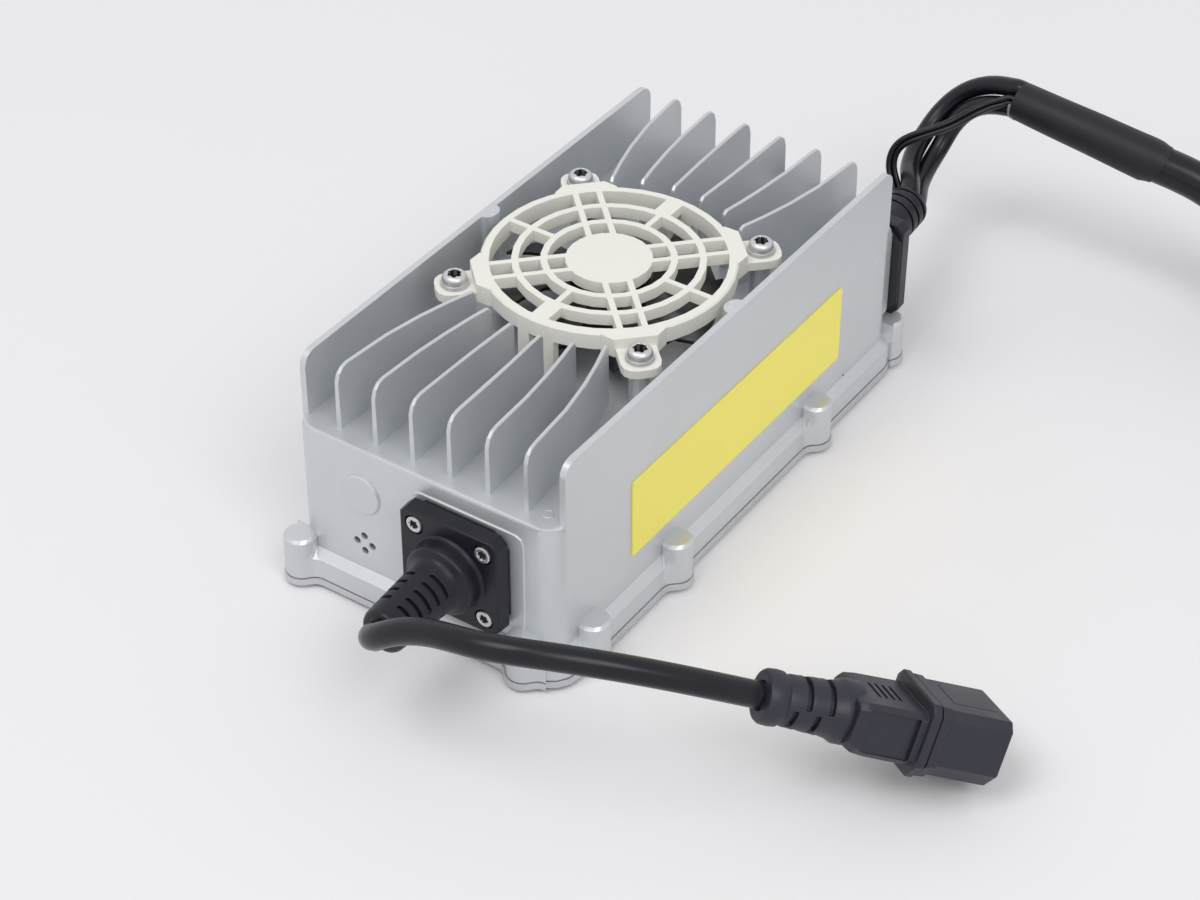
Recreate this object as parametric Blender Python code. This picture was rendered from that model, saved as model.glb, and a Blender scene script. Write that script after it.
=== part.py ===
"""Battery charger for a forklift truck.

A die-cast heat-sink housing stands on its cover plate. A fan sits in the
middle of the fins, the mains lead leaves the front (-Y) and the output lead
leaves the back (+Y). Lengths are in metres, +Z is up, and the origin lies on
the table under the middle of the housing.
"""

import math

import bmesh
import bpy
from mathutils import Matrix, Vector

# Fits
CLEAR = 0.0003
HOLE_PLAY = 0.0003

# Housing
BODY_LENGTH = 0.2052
BODY_WIDTH = 0.1004
BODY_CORNER = 0.0070
BODY_WALL = 0.0030
DECK_Z = 0.0624
DECK_THICK = 0.0040
DECK_EDGE = 0.0014
RIM_OUT = 0.0030
RIM_SHELF_Z = 0.0142
RIM_SHELF_DROP = 0.0026

# Fins
FIN_HEIGHT = 0.0229
FIN_END_INSET = 0.0053
FIN_SIDE_GAP = 0.01335
FIN_PAIRS = 3
FIN_FOOT = 0.0019
FIN_TIP = 0.0013
FIN_WALL = 0.0022
FIN_CORNER = 0.0050
FIN_NOSE = 0.0012
FIN_BEND = 0.29
FIN_BEND_FROM = 0.0390
FIN_END_GAP = 0.0045
PIP_RADIUS = 0.0042

# Lugs round the rim
LUG_RADIUS = 0.0056
LUG_INSET = 0.0007
LUG_FILLET = 0.0050
LUG_TOP_Z = 0.0192
LUG_ROUND = 0.0010
LUG_NEAR_INSET = 0.0015
LUG_FAR_INSET = 0.0110
LUG_END_INSET = 0.0166
SIDE_LUGS = (-0.0387, 0.0486)

# Cover plate and its screws
COVER_THICK = 0.0024
COVER_LIP = 0.0005
COVER_HEAD = 0.0012
COVER_HEAD_RADIUS = 0.0036
COVER_SHANK_RADIUS = 0.0015
COVER_SCREW_REACH = 0.0070
GASKET_WIDTH = 0.0016
GASKET_THICK = 0.0012
GASKET_INSET = 0.0039

# Fan guard
GUARD_BAR = 0.0040
GUARD_BAR_WIDTH = 0.0020
GUARD_SKIRT = 0.0060
GUARD_HUB_RADIUS = 0.0143
GUARD_RING_SHARES = (0.264, 0.622)
GUARD_RING_WIDTH = 0.0023
GUARD_OUTER_WIDTH = 0.0030
SPOKE_PAIR = 0.0100
WEB_WIDTH = 0.0090
SHOULDER_OUT = 0.0025
SHOULDER_WIDTH = 0.0140
EAR_SIZE = 0.0130
EAR_CORNER = 0.0045
EAR_DROP = 0.0037
EAR_REACH = 0.0086
EAR_GAP = 0.0049
EAR_THICK = 0.0030
LEG_WIDTH = 0.0042
LEG_DEPTH = 0.0030
LEG_OFFSET = 0.0047
FAN_POST_RADIUS = 0.0036
FAN_SHANK_RADIUS = 0.0015
FAN_HEAD_RADIUS = 0.00435
FAN_HEAD = 0.0026
FAN_SCREW_REACH = 0.0120

# Fan motor and rotor
ROTOR_LIFT = 0.0031
ROTOR_DROP = 0.0025
ROTOR_HUB_RADIUS = 0.0146
ROTOR_HUB_WALL = 0.0016
ROTOR_TIP_GAP = 0.00178864
ROTOR_BLADES = 7
BLADE_THICK = 0.0013
BLADE_SPAN_ANGLE = 38.0
BLADE_MARGIN = 0.0028
BLADE_LEAN = 16.0
SHAFT_RADIUS = 0.0010
STATOR_RADIUS = 0.0105
STATOR_NECK_RADIUS = 0.0032
STATOR_FLANGE = 0.0012
STATOR_GAP = 0.0010

# Glands and their boots, one at each end
AC_GLAND_INSET = 0.0349
AC_GLAND_Z = 0.0370
DC_GLAND_INSET = 0.0167
DC_GLAND_Z = 0.0395
GLAND_SIZE = 0.0372
GLAND_CUT = 0.0056
GLAND_THICK = 0.0058
GLAND_DRAFT = 0.0013
PAD_MARGIN = 0.0008
PAD_OUT = 0.0005
SEAL_THICK = 0.0006
SEAL_INSET = 0.0002
GLAND_SPIGOT_RADIUS = 0.0090
COLLAR_RADIUS = 0.0150
COLLAR_HEIGHT = 0.0030
BOOT_ROOT_RADIUS = 0.0104
BOOT_TIP_RADIUS = 0.0080
BOOT_START = 0.0127
BOOT_LENGTH = 0.0392
BOOT_ROUND = 0.0020
SLOT_PITCH = 0.0044
SLOT_WIDTH = 0.0016
SLOT_DEPTH = 0.0014
SLOT_ROWS = 10
GLAND_SCREW_SQUARE = 0.0258
GLAND_SHANK_RADIUS = 0.0013
GLAND_HEAD_RADIUS = 0.00275
GLAND_HEAD = 0.0014
GLAND_SCREW_BITE = 0.0020

# Front face
DISC_INSET = 0.0261
DISC_Z = 0.0445
DISC_RADIUS = 0.0074
DISC_OUT = 0.0007
LIGHT_INSET = 0.02635
LIGHT_Z = 0.0247
LIGHT_SPREAD = 0.0030
LIGHT_HOLE_RADIUS = 0.00135
AC_PAD_RIGHT = 0.0040

# Label on the right-hand side
LABEL_LENGTH = 0.1270
LABEL_HEIGHT = 0.0295
LABEL_Y = 0.0020
LABEL_Z = 0.04075
LABEL_CORNER = 0.0035
LABEL_THICK = 0.0004

# Inside
BOARD_Z = 0.0130
BOARD_THICK = 0.0016
BOARD_MARGIN = 0.0012
BOSS_RADIUS = 0.0032
BOSS_INSET = 0.0080
CORE_SIZE = (0.0420, 0.0460, 0.0300)
CAPACITOR_RADIUS = 0.0110
CAPACITOR_GAP = 0.0095
CHOKE_RADIUS = 0.0150
CHOKE_WIDTH = 0.0120
BAR_THICK = 0.0080
BAR_LENGTH = 0.0700
DEVICE_SIZE = (0.0045, 0.0150, 0.0200)

# Mains lead and its plug
AC_LEAD_RADIUS = 0.0042
PLUG_NOSE = (0.1765, -0.0594, 0.0132)
PLUG_OUT = (0.683, 0.630, -0.370)
PLUG_ACROSS = (0.730, -0.613, 0.303)
PLUG_SHROUD_WIDTH = 0.0282
PLUG_SHROUD_HEIGHT = 0.0224
PLUG_SHROUD_DEPTH = 0.0205
PLUG_SHROUD_WALL = 0.0022
PLUG_RECESS = 0.0165
PLUG_CUT = 0.0053
PLUG_COLLAR_OUT = 0.0012
PLUG_COLLAR = 0.0070
PLUG_BODY_WIDTH = 0.0252
PLUG_BODY_HEIGHT = 0.0170
PLUG_BODY_END = 0.0490
PLUG_LENGTH = 0.0752
PLUG_BOOT_RADIUS = 0.0090
PLUG_BOOT_TIP_RADIUS = 0.0072
PIN_SIZE = (0.0020, 0.0040, 0.0140)
PIN_SPREAD = 0.0070
PIN_STEP = 0.0040

# Output leads
DC_LEAD_RADIUS = 0.0035
SIGNAL_LEAD_RADIUS = 0.0020
SLEEVE_MOUTH_RADIUS = 0.0072
SLEEVE_RADIUS = 0.0082
SLEEVE_STEP = 0.0050
CORD_RADIUS = 0.0070
COIL_X = 0.2900
COIL_Y = 0.1990
COIL_RADIUS = 0.0700
COIL_TURNS_ACROSS = 2
COIL_ENTRY_ANGLE = 237.0
COIL_EXIT_ANGLE = 109.0
TAIL_LENGTH = 0.0300
TAIL_START_Z = 0.0140
CONNECTOR_SIZE = (0.0520, 0.0360, 0.0190)
CONNECTOR_WALL = 0.0025
CONNECTOR_MOUTH_DEPTH = 0.0240
CONTACT_THICK = 0.0030

FIN_TOP_Z = DECK_Z + FIN_HEIGHT
HALF_L = BODY_LENGTH / 2
HALF_W = BODY_WIDTH / 2
FIN_SPAN = BODY_LENGTH - 2 * FIN_END_INSET
FIN_PITCH = (HALF_W - FIN_WALL / 2 - FIN_SIDE_GAP) / (FIN_PAIRS - 0.5)
GUARD_TOP_Z = FIN_TOP_Z
EAR_TOP_Z = GUARD_TOP_Z - EAR_DROP
EAR_SPREAD = (EAR_SIZE / 2 - EAR_CORNER) * math.sqrt(2.0) + EAR_CORNER
SCREW_SQUARE = 2 * (HALF_W - FIN_WALL - EAR_GAP - EAR_SPREAD)
GUARD_OUTER_RADIUS = SCREW_SQUARE / math.sqrt(2.0) - EAR_REACH
GUARD_RIM_RADIUS = GUARD_OUTER_RADIUS - GUARD_OUTER_WIDTH / 2
GUARD_RING_RADII = tuple(
    GUARD_HUB_RADIUS + (GUARD_RIM_RADIUS - GUARD_HUB_RADIUS) * share for share in GUARD_RING_SHARES
)
SHOULDER_REACH = GUARD_OUTER_RADIUS + SHOULDER_OUT
FIN_END_RADIUS = GUARD_OUTER_RADIUS + FIN_END_GAP
ROTOR_BOTTOM_Z = DECK_Z + ROTOR_LIFT
ROTOR_TOP_Z = GUARD_TOP_Z - GUARD_BAR - ROTOR_DROP
ROTOR_TIP_RADIUS = GUARD_OUTER_RADIUS - GUARD_OUTER_WIDTH - ROTOR_TIP_GAP
BLADE_RISE = ROTOR_TOP_Z - ROTOR_BOTTOM_Z - BLADE_MARGIN
AC_GLAND_X = HALF_W - AC_GLAND_INSET
DC_GLAND_X = HALF_W - DC_GLAND_INSET
DISC_X = DISC_INSET - HALF_W
LIGHT_X = LIGHT_INSET - HALF_W
COVER_Z = COVER_HEAD + CLEAR
COVER_TOP_Z = COVER_Z + COVER_THICK
SEAM_Z = COVER_TOP_Z + CLEAR
GLAND_BACK = PAD_OUT + CLEAR + SEAL_THICK + CLEAR
CEILING_Z = DECK_Z - DECK_THICK


def clear_scene():
    for old in list(bpy.data.objects):
        bpy.data.objects.remove(old, do_unlink=True)


def material(name, colour, roughness, metallic=0.0):
    """A material with one Principled BSDF; colour is linear RGB."""
    made = bpy.data.materials.new(name)
    made.use_nodes = True
    shader = made.node_tree.nodes["Principled BSDF"]
    shader.inputs["Base Color"].default_value = (*colour, 1.0)
    shader.inputs["Roughness"].default_value = roughness
    shader.inputs["Metallic"].default_value = metallic
    made.diffuse_color = (*colour, 1.0)
    return made


def new_object(name, bm, surface=None, smooth=30.0, parent=None):
    """Turn a bmesh into a named object, with its faces facing out."""
    bmesh.ops.recalc_face_normals(bm, faces=bm.faces)
    mesh = bpy.data.meshes.new(name)
    bm.to_mesh(mesh)
    bm.free()
    if surface:
        mesh.materials.append(surface)
    mesh.shade_smooth()
    mesh.set_sharp_from_angle(angle=math.radians(smooth))
    made = bpy.data.objects.new(name, mesh)
    bpy.context.scene.collection.objects.link(made)
    made.parent = parent
    return made


def empty(name, location, rotation=(0.0, 0.0, 0.0)):
    made = bpy.data.objects.new(name, None)
    made.location = location
    made.rotation_euler = rotation
    made.empty_display_size = 0.01
    bpy.context.scene.collection.objects.link(made)
    return made


def boolean(target, operation, name, bm, parent=None):
    """Join or cut the target with a helper solid that is not itself rendered."""
    helper = new_object(name, bm, parent=parent)
    helper.hide_render = True
    helper.display_type = "WIRE"
    step = target.modifiers.new(name, "BOOLEAN")
    step.operation = operation
    step.solver = "EXACT"
    step.object = helper
    return step


def rounded_box(half_x, half_y, radius, steps=4):
    """Outline of a rounded rectangle, anticlockwise from its +X+Y corner."""
    points = []
    for x, y, start in ((1, 1, 0), (-1, 1, 90), (-1, -1, 180), (1, -1, 270)):
        for step in range(steps + 1):
            angle = math.radians(start + 90.0 * step / steps)
            points.append((
                x * (half_x - radius) + radius * math.cos(angle),
                y * (half_y - radius) + radius * math.sin(angle),
            ))
    return points


def cut_box(half_x, half_y, cut, low_cut=None):
    """Outline of a rectangle with its corners cut off at 45 degrees."""
    low = cut if low_cut is None else low_cut
    return [
        (half_x, half_y - cut), (half_x - cut, half_y),
        (cut - half_x, half_y), (-half_x, half_y - cut),
        (-half_x, low - half_y), (low - half_x, -half_y),
        (half_x - low, -half_y), (half_x, low - half_y),
    ]


def at_height(outline, z):
    return [Vector((x, y, z)) for x, y in outline]


def loft(bm, rings):
    """Skin a closed solid through rings that have equal counts of points."""
    rows = [[bm.verts.new(point) for point in ring] for ring in rings]
    count = len(rows[0])
    for lower, upper in zip(rows, rows[1:]):
        for i in range(count):
            j = (i + 1) % count
            bm.faces.new((lower[i], lower[j], upper[j], upper[i]))
    bm.faces.new(list(reversed(rows[0])))
    bm.faces.new(rows[-1])


def prism(bm, outline, low, high, move=(0.0, 0.0)):
    """Extrude a flat outline from one height to another."""
    ring = [bm.verts.new((x + move[0], y + move[1], low)) for x, y in outline]
    face = bm.faces.new(ring)
    grown = bmesh.ops.extrude_face_region(bm, geom=[face])["geom"]
    moved = [item for item in grown if isinstance(item, bmesh.types.BMVert)]
    bmesh.ops.translate(bm, verts=moved, vec=(0.0, 0.0, high - low))


def block(bm, low, high):
    """A plain box between two corners."""
    outline = [(low[0], low[1]), (high[0], low[1]), (high[0], high[1]), (low[0], high[1])]
    prism(bm, outline, low[2], high[2])


def circle(radius, steps, turn=0.0):
    outline = []
    for step in range(steps):
        angle = math.radians(turn + 360.0 * step / steps)
        outline.append((radius * math.cos(angle), radius * math.sin(angle)))
    return outline


def turned(bm, profile, steps, place=(0.0, 0.0)):
    """Spin a (radius, height) profile about Z; a zero radius closes the end."""
    x, y = place
    verts = [bm.verts.new((x + radius, y, height)) for radius, height in profile]
    edges = [bm.edges.new(pair) for pair in zip(verts, verts[1:])]
    if profile[0][0] > 0.0:
        edges.append(bm.edges.new((verts[-1], verts[0])))
    bmesh.ops.spin(
        bm, geom=verts + edges, axis=(0, 0, 1), cent=(x, y, 0),
        angle=math.tau, steps=steps, use_merge=True,
    )
    bmesh.ops.remove_doubles(bm, verts=bm.verts, dist=1e-7)


def turn_and_move(bm, first, matrix):
    """Place everything made since vertex number first."""
    bm.verts.ensure_lookup_table()
    bmesh.ops.transform(bm, matrix=matrix, verts=bm.verts[first:])


def lug_points(side, z, radius, reach, low_fillet, high_fillet):
    """One level of a lug: half a post, with a hollow fillet to the band.

    The lug looks along +Y from its own centre. The reach says how far the
    band stands out from the post's centre; above the band the fillets close
    up to the post.
    """
    points = []
    span = radius + LUG_FILLET
    drop = reach + LUG_FILLET
    half = math.sqrt(span * span - drop * drop)
    start = math.atan2(drop, half)
    steps = 3
    arc = []
    for step in range(steps + 1):
        angle = math.pi + start + (math.pi / 2 - start) * step / steps
        arc.append((half + LUG_FILLET * math.cos(angle), drop + LUG_FILLET * math.sin(angle)))
    closed = []
    for step in range(steps + 1):
        angle = start - (start + math.radians(38.0)) * step / steps
        closed.append((radius * math.cos(angle), radius * math.sin(angle)))
    right = arc if high_fillet else closed
    left = arc if low_fillet else closed
    points += [(side, -side)]
    points += list(reversed(right))
    for step in range(1, 7):
        angle = start + (math.pi - 2 * start) * step / 7
        points.append((radius * math.cos(angle), radius * math.sin(angle)))
    points += [(-x, y) for x, y in left]
    points += [(-side, -side)]
    return [Vector((x, y, z)) for x, y in points]


def lug(bm, levels, low_fillet=True, high_fillet=True):
    """Stack a lug's levels: (height, radius, reach, fillets on or off)."""
    rings = []
    for z, radius, reach, flared in levels:
        rings.append(lug_points(
            LUG_RADIUS * 0.8, z, radius, reach, low_fillet and flared, high_fillet and flared,
        ))
    loft(bm, rings)


def lug_places():
    """Every lug: its place, the way it looks and which fillets it has."""
    side_x = HALF_W + RIM_OUT - LUG_INSET
    end_y = HALF_L + RIM_OUT - LUG_INSET
    room = HALF_W - LUG_FILLET
    places = []
    near, far = HALF_W - LUG_NEAR_INSET, HALF_W - LUG_FAR_INSET
    for x in (-near, far):
        places.append((x, -end_y, 180.0, x < room, x > -room))
    for x in (-far, near):
        places.append((x, end_y, 0.0, x > -room, x < room))
    places += [(side_x, y, -90.0, True, True) for y in (LUG_END_INSET - HALF_L, *SIDE_LUGS)]
    places += [(-side_x, y, 90.0, True, True) for y in SIDE_LUGS]
    return places


def lugs(levels):
    bm = bmesh.new()
    for x, y, turn, low, high in lug_places():
        first = len(bm.verts)
        lug(bm, levels, low, high)
        spin = Matrix.Rotation(math.radians(turn), 4, "Z")
        turn_and_move(bm, first, Matrix.Translation((x, y, 0.0)) @ spin)
    return bm


def lug_holes(radius, low, high):
    bm = bmesh.new()
    for x, y, _turn, _low, _high in lug_places():
        prism(bm, circle(radius, 8), low, high, (x, y))
    return bm


def fin_row(offset):
    """Stations of one curved fin from its outer end to the fan's circle.

    Each station is (x, y, top). The fins run straight from the end wall and
    then lean in toward the fan, and both ends are rounded at the top.
    """
    outer = FIN_SPAN / 2
    reach = outer - FIN_BEND_FROM

    def x_at(y):
        share = (outer - y) / reach
        return offset * (1.0 - FIN_BEND * share * share)

    low, high = 0.0, outer
    for _ in range(40):
        middle = (low + high) / 2
        if math.hypot(x_at(middle), middle) < FIN_END_RADIUS:
            low = middle
        else:
            high = middle
    inner = high
    stations = []
    for angle in (0.0, 35.0, 62.0, 90.0):
        run = FIN_CORNER * (1.0 - math.cos(math.radians(angle)))
        drop = FIN_CORNER * (1.0 - math.sin(math.radians(angle)))
        stations.append((outer - run, drop))
    start, end = outer - FIN_CORNER, inner + FIN_NOSE
    for share in (0.35, 0.62, 0.83, 1.0):
        stations.append((start + (end - start) * share, 0.0))
    stations.append((inner, FIN_NOSE))
    return [(x_at(y), y, FIN_TOP_Z - drop) for y, drop in stations]


def fin(bm, offset, end):
    rows = fin_row(offset)
    rings = []
    for i, (x, y, top) in enumerate(rows):
        before, after = rows[max(i - 1, 0)], rows[min(i + 1, len(rows) - 1)]
        along = Vector((after[0] - before[0], after[1] - before[1])).normalized()
        across = Vector((-along.y, along.x))
        share = (top - DECK_Z) / FIN_HEIGHT
        foot, tip = FIN_FOOT / 2, (FIN_FOOT + (FIN_TIP - FIN_FOOT) * share) / 2
        ring = []
        for side, z in (
            (foot, DECK_Z - DECK_THICK / 2), (tip, top - tip * 0.6), (tip * 0.5, top),
            (-tip * 0.5, top), (-tip, top - tip * 0.6), (-foot, DECK_Z - DECK_THICK / 2),
        ):
            ring.append(Vector((x + across.x * side, (y + across.y * side) * end, z)))
        rings.append(ring)
    loft(bm, rings)


def fins():
    bm = bmesh.new()
    for end in (-1, 1):
        for pair in range(FIN_PAIRS):
            for side in (-1, 1):
                fin(bm, side * FIN_PITCH * (pair + 0.5), end)
    return bm


def fan_posts():
    """Round posts of the casting under the guard's ears."""
    bm = bmesh.new()
    top = EAR_TOP_Z - EAR_THICK - CLEAR
    for x, y in fan_screw_places():
        prism(bm, circle(FAN_POST_RADIUS, 12), DECK_Z - DECK_THICK / 2, top, (x, y))
    return bm


def fan_screw_places():
    half = SCREW_SQUARE / 2
    return [(half, half), (-half, half), (-half, -half), (half, -half)]


def side_wall_outline():
    """Side view of a fin wall, with both upper corners rounded."""
    half = FIN_SPAN / 2
    foot = DECK_Z - DECK_THICK / 2
    points = [(-half, foot)]
    for side in (-1, 1):
        for step in range(5):
            angle = math.radians(22.5 * step)
            if side > 0:
                angle = math.pi / 2 - angle
            points.append((
                side * (half - FIN_CORNER * (1.0 - math.cos(angle))),
                FIN_TOP_Z - FIN_CORNER * (1.0 - math.sin(angle)),
            ))
    points.append((half, foot))
    return points


def side_walls():
    """The outer fin on each side, flush with the side of the housing."""
    bm = bmesh.new()
    for side in (-1, 1):
        first = len(bm.verts)
        prism(bm, side_wall_outline(), HALF_W - FIN_WALL, HALF_W)
        stand = Matrix(((0, 0, side, 0), (1, 0, 0, 0), (0, 1, 0, 0), (0, 0, 0, 1)))
        turn_and_move(bm, first, stand)
    return bm


def pips():
    """A half-round boss on the inner face of each side wall."""
    bm = bmesh.new()
    for side in (-1, 1):
        outline = [(side * (HALF_W - FIN_WALL / 2), PIP_RADIUS * side)]
        for step in range(9):
            angle = math.radians(90.0 + 22.5 * step)
            outline.append((
                side * (HALF_W - FIN_WALL + PIP_RADIUS * 0.8 * math.cos(angle)),
                side * PIP_RADIUS * math.sin(angle),
            ))
        outline.append((side * (HALF_W - FIN_WALL / 2), -PIP_RADIUS * side))
        prism(bm, outline, DECK_Z - DECK_THICK / 2, FIN_TOP_Z)
    return bm


def gland_frame(end):
    """Turn and place things modelled round +Z onto the front or back face."""
    x, z = (AC_GLAND_X, AC_GLAND_Z) if end < 0 else (DC_GLAND_X, DC_GLAND_Z)
    turn = Matrix.Rotation(math.radians(90.0 if end < 0 else -90.0), 4, "X")
    return Matrix.Translation((x, end * HALF_L, z)) @ turn


def pads():
    """Raised seats for the glands."""
    bm = bmesh.new()
    half = GLAND_SIZE / 2 + PAD_MARGIN
    for end in (-1, 1):
        room = HALF_W - DECK_EDGE
        if end < 0:
            low, high = AC_GLAND_X - half, AC_GLAND_X + half + AC_PAD_RIGHT
        else:
            low, high = DC_GLAND_X - half, min(DC_GLAND_X + half, room)
        first = len(bm.verts)
        centre = (low + high) / 2 - (AC_GLAND_X if end < 0 else DC_GLAND_X)
        wide = (high - low) / 2
        back = BODY_WALL * 0.7 if end < 0 else BODY_CORNER
        rings = []
        for z, inset in ((-back, 0.0), (PAD_OUT * 0.4, 0.0), (PAD_OUT, PAD_OUT * 0.6)):
            outline = rounded_box(wide - inset, half - inset, 0.0035 - inset, 2)
            rings.append([Vector((x + centre, y, z)) for x, y in outline])
        loft(bm, rings)
        turn_and_move(bm, first, gland_frame(end))
    return bm


def blind_disc():
    """The disc on the front that closes an unused opening of the casting."""
    bm = bmesh.new()
    rings = []
    for z, inset in ((-BODY_WALL * 0.7, 0.0), (DISC_OUT * 0.4, 0.0), (DISC_OUT, DISC_OUT * 0.7)):
        rings.append(at_height(circle(DISC_RADIUS - inset, 18), z))
    loft(bm, rings)
    turn = Matrix.Rotation(math.radians(90.0), 4, "X")
    turn_and_move(bm, 0, Matrix.Translation((DISC_X, -HALF_L, DISC_Z)) @ turn)
    return bm


def gland_screw_places():
    half = GLAND_SCREW_SQUARE / 2
    return [(half, half), (-half, half), (-half, -half), (half, -half)]


def wall_holes():
    """Holes in the end walls: the glands, their screws and the status light."""
    bm = bmesh.new()
    for end in (-1, 1):
        first = len(bm.verts)
        prism(bm, circle(GLAND_SPIGOT_RADIUS + HOLE_PLAY, 20), -BODY_CORNER - BODY_WALL, PAD_OUT * 2)
        for x, y in gland_screw_places():
            depth = PAD_OUT - GLAND_SCREW_BITE - CLEAR
            prism(bm, circle(GLAND_SHANK_RADIUS + HOLE_PLAY, 8), depth, PAD_OUT * 2, (x, y))
        turn_and_move(bm, first, gland_frame(end))
    turn = Matrix.Rotation(math.radians(90.0), 4, "X")
    place = Matrix.Translation((LIGHT_X, -HALF_L, LIGHT_Z)) @ turn
    for x, y in light_places():
        first = len(bm.verts)
        prism(bm, circle(LIGHT_HOLE_RADIUS, 10), -BODY_WALL * 2, BODY_WALL, (x, y))
        turn_and_move(bm, first, place)
    return bm


def light_places():
    return [(LIGHT_SPREAD, 0.0), (0.0, LIGHT_SPREAD), (-LIGHT_SPREAD, 0.0), (0.0, -LIGHT_SPREAD)]


def board_bosses(top):
    """Bosses that hang from the ceiling and hold the circuit board."""
    bm = bmesh.new()
    for x, y in boss_places():
        prism(bm, circle(BOSS_RADIUS, 10), BOARD_Z + BOARD_THICK + CLEAR, top, (x, y))
    return bm


def boss_places():
    x, y = HALF_W - BODY_WALL - BOSS_INSET, HALF_L - BODY_WALL - BOSS_INSET
    return [(x, y), (-x, y), (-x, -y), (x, -y)]


def gasket_path(width, low, high):
    """A thin frame round the rim, as the gasket and as the groove for it."""
    bm = bmesh.new()
    rings = []
    middle_x = HALF_W + RIM_OUT - GASKET_INSET
    middle_y = HALF_L + RIM_OUT - GASKET_INSET
    corner = BODY_CORNER + RIM_OUT - GASKET_INSET
    for inset, z in ((width / 2, low), (-width / 2, low), (-width / 2, high), (width / 2, high)):
        rings.append(at_height(rounded_box(middle_x - inset, middle_y - inset, corner - inset, 3), z))
    rows = [[bm.verts.new(point) for point in ring] for ring in rings]
    for lower, upper in zip(rows, rows[1:] + rows[:1]):
        for i in range(len(lower)):
            j = (i + 1) % len(lower)
            bm.faces.new((lower[i], lower[j], upper[j], upper[i]))
    return bm


def make_housing(surface):
    bm = bmesh.new()
    rings = []
    edge = DECK_EDGE
    for grow, z in (
        (RIM_OUT, SEAM_Z), (RIM_OUT, RIM_SHELF_Z - RIM_SHELF_DROP), (0.0, RIM_SHELF_Z),
        (0.0, DECK_Z - edge), (-0.3 * edge, DECK_Z - 0.3 * edge), (-edge, DECK_Z),
    ):
        rings.append(at_height(rounded_box(HALF_W + grow, HALF_L + grow, BODY_CORNER + grow), z))
    loft(bm, rings)
    housing = new_object("housing", bm, surface)
    shelf = RIM_SHELF_Z - RIM_SHELF_DROP
    levels = (
        (SEAM_Z, LUG_RADIUS, LUG_INSET, True),
        (shelf, LUG_RADIUS, LUG_INSET, True),
        (RIM_SHELF_Z, LUG_RADIUS, LUG_INSET, False),
        (LUG_TOP_Z - LUG_ROUND, LUG_RADIUS, LUG_INSET, False),
        (LUG_TOP_Z, LUG_RADIUS - LUG_ROUND, LUG_INSET, False),
    )
    boolean(housing, "UNION", "lug_posts", lugs(levels))
    boolean(housing, "UNION", "end_pads", pads())
    boolean(housing, "UNION", "blind_disc", blind_disc())
    boolean(housing, "UNION", "side_fins", side_walls())
    boolean(housing, "UNION", "wall_pips", pips())
    boolean(housing, "UNION", "curved_fins", fins())
    boolean(housing, "UNION", "fan_posts", fan_posts())
    hollow = bmesh.new()
    inner = rounded_box(HALF_W - BODY_WALL, HALF_L - BODY_WALL, BODY_CORNER - BODY_WALL)
    prism(hollow, inner, SEAM_Z - BODY_WALL, CEILING_Z)
    boolean(housing, "DIFFERENCE", "hollow", hollow)
    boolean(housing, "UNION", "board_bosses", board_bosses(DECK_Z - DECK_THICK / 2))
    groove = gasket_path(GASKET_WIDTH + 2 * CLEAR, SEAM_Z - BODY_WALL, SEAM_Z + GASKET_THICK)
    boolean(housing, "DIFFERENCE", "gasket_groove", groove)
    boolean(housing, "DIFFERENCE", "end_holes", wall_holes())
    reach = COVER_TOP_Z + COVER_SCREW_REACH + CLEAR
    holes = lug_holes(COVER_SHANK_RADIUS + HOLE_PLAY, SEAM_Z - BODY_WALL, reach)
    boolean(housing, "DIFFERENCE", "lug_screw_holes", holes)
    top = EAR_TOP_Z
    bores = bmesh.new()
    for x, y in fan_screw_places():
        low = EAR_TOP_Z - FAN_SCREW_REACH - CLEAR
        prism(bores, circle(FAN_SHANK_RADIUS + HOLE_PLAY, 8), low, top, (x, y))
    boolean(housing, "DIFFERENCE", "fan_screw_holes", bores)
    return housing


def make_cover(surface, screw_surface, gasket_surface):
    bm = bmesh.new()
    grow = RIM_OUT + COVER_LIP
    outline = rounded_box(HALF_W + grow, HALF_L + grow, BODY_CORNER + grow)
    prism(bm, outline, COVER_Z, COVER_TOP_Z)
    cover = new_object("cover_plate", bm, surface)
    radius = LUG_RADIUS + COVER_LIP
    levels = (
        (COVER_Z, radius, LUG_INSET + COVER_LIP, True),
        (COVER_TOP_Z, radius, LUG_INSET + COVER_LIP, True),
    )
    boolean(cover, "UNION", "cover_lugs", lugs(levels))
    holes = lug_holes(COVER_SHANK_RADIUS + HOLE_PLAY, COVER_Z - COVER_THICK, COVER_TOP_Z + COVER_THICK)
    boolean(cover, "DIFFERENCE", "cover_holes", holes)
    low = SEAM_Z
    gasket = gasket_path(GASKET_WIDTH, low, low + GASKET_THICK - CLEAR)
    new_object("cover_gasket", gasket, gasket_surface)
    screw = bmesh.new()
    under = COVER_Z - CLEAR
    dome = under - COVER_HEAD
    turned(screw, (
        (0.0, dome), (COVER_HEAD_RADIUS * 0.6, dome), (COVER_HEAD_RADIUS, dome + COVER_HEAD * 0.45),
        (COVER_HEAD_RADIUS, under), (COVER_SHANK_RADIUS, under),
        (COVER_SHANK_RADIUS, COVER_TOP_Z + COVER_SCREW_REACH), (0.0, COVER_TOP_Z + COVER_SCREW_REACH),
    ), 8)
    first = new_object("cover_screw_1", screw, screw_surface)
    places = lug_places()
    first.location = (places[0][0], places[0][1], 0.0)
    for i, (x, y, _turn, _low, _high) in enumerate(places[1:], 2):
        copy_of(first, f"cover_screw_{i}", (x, y, 0.0))


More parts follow.
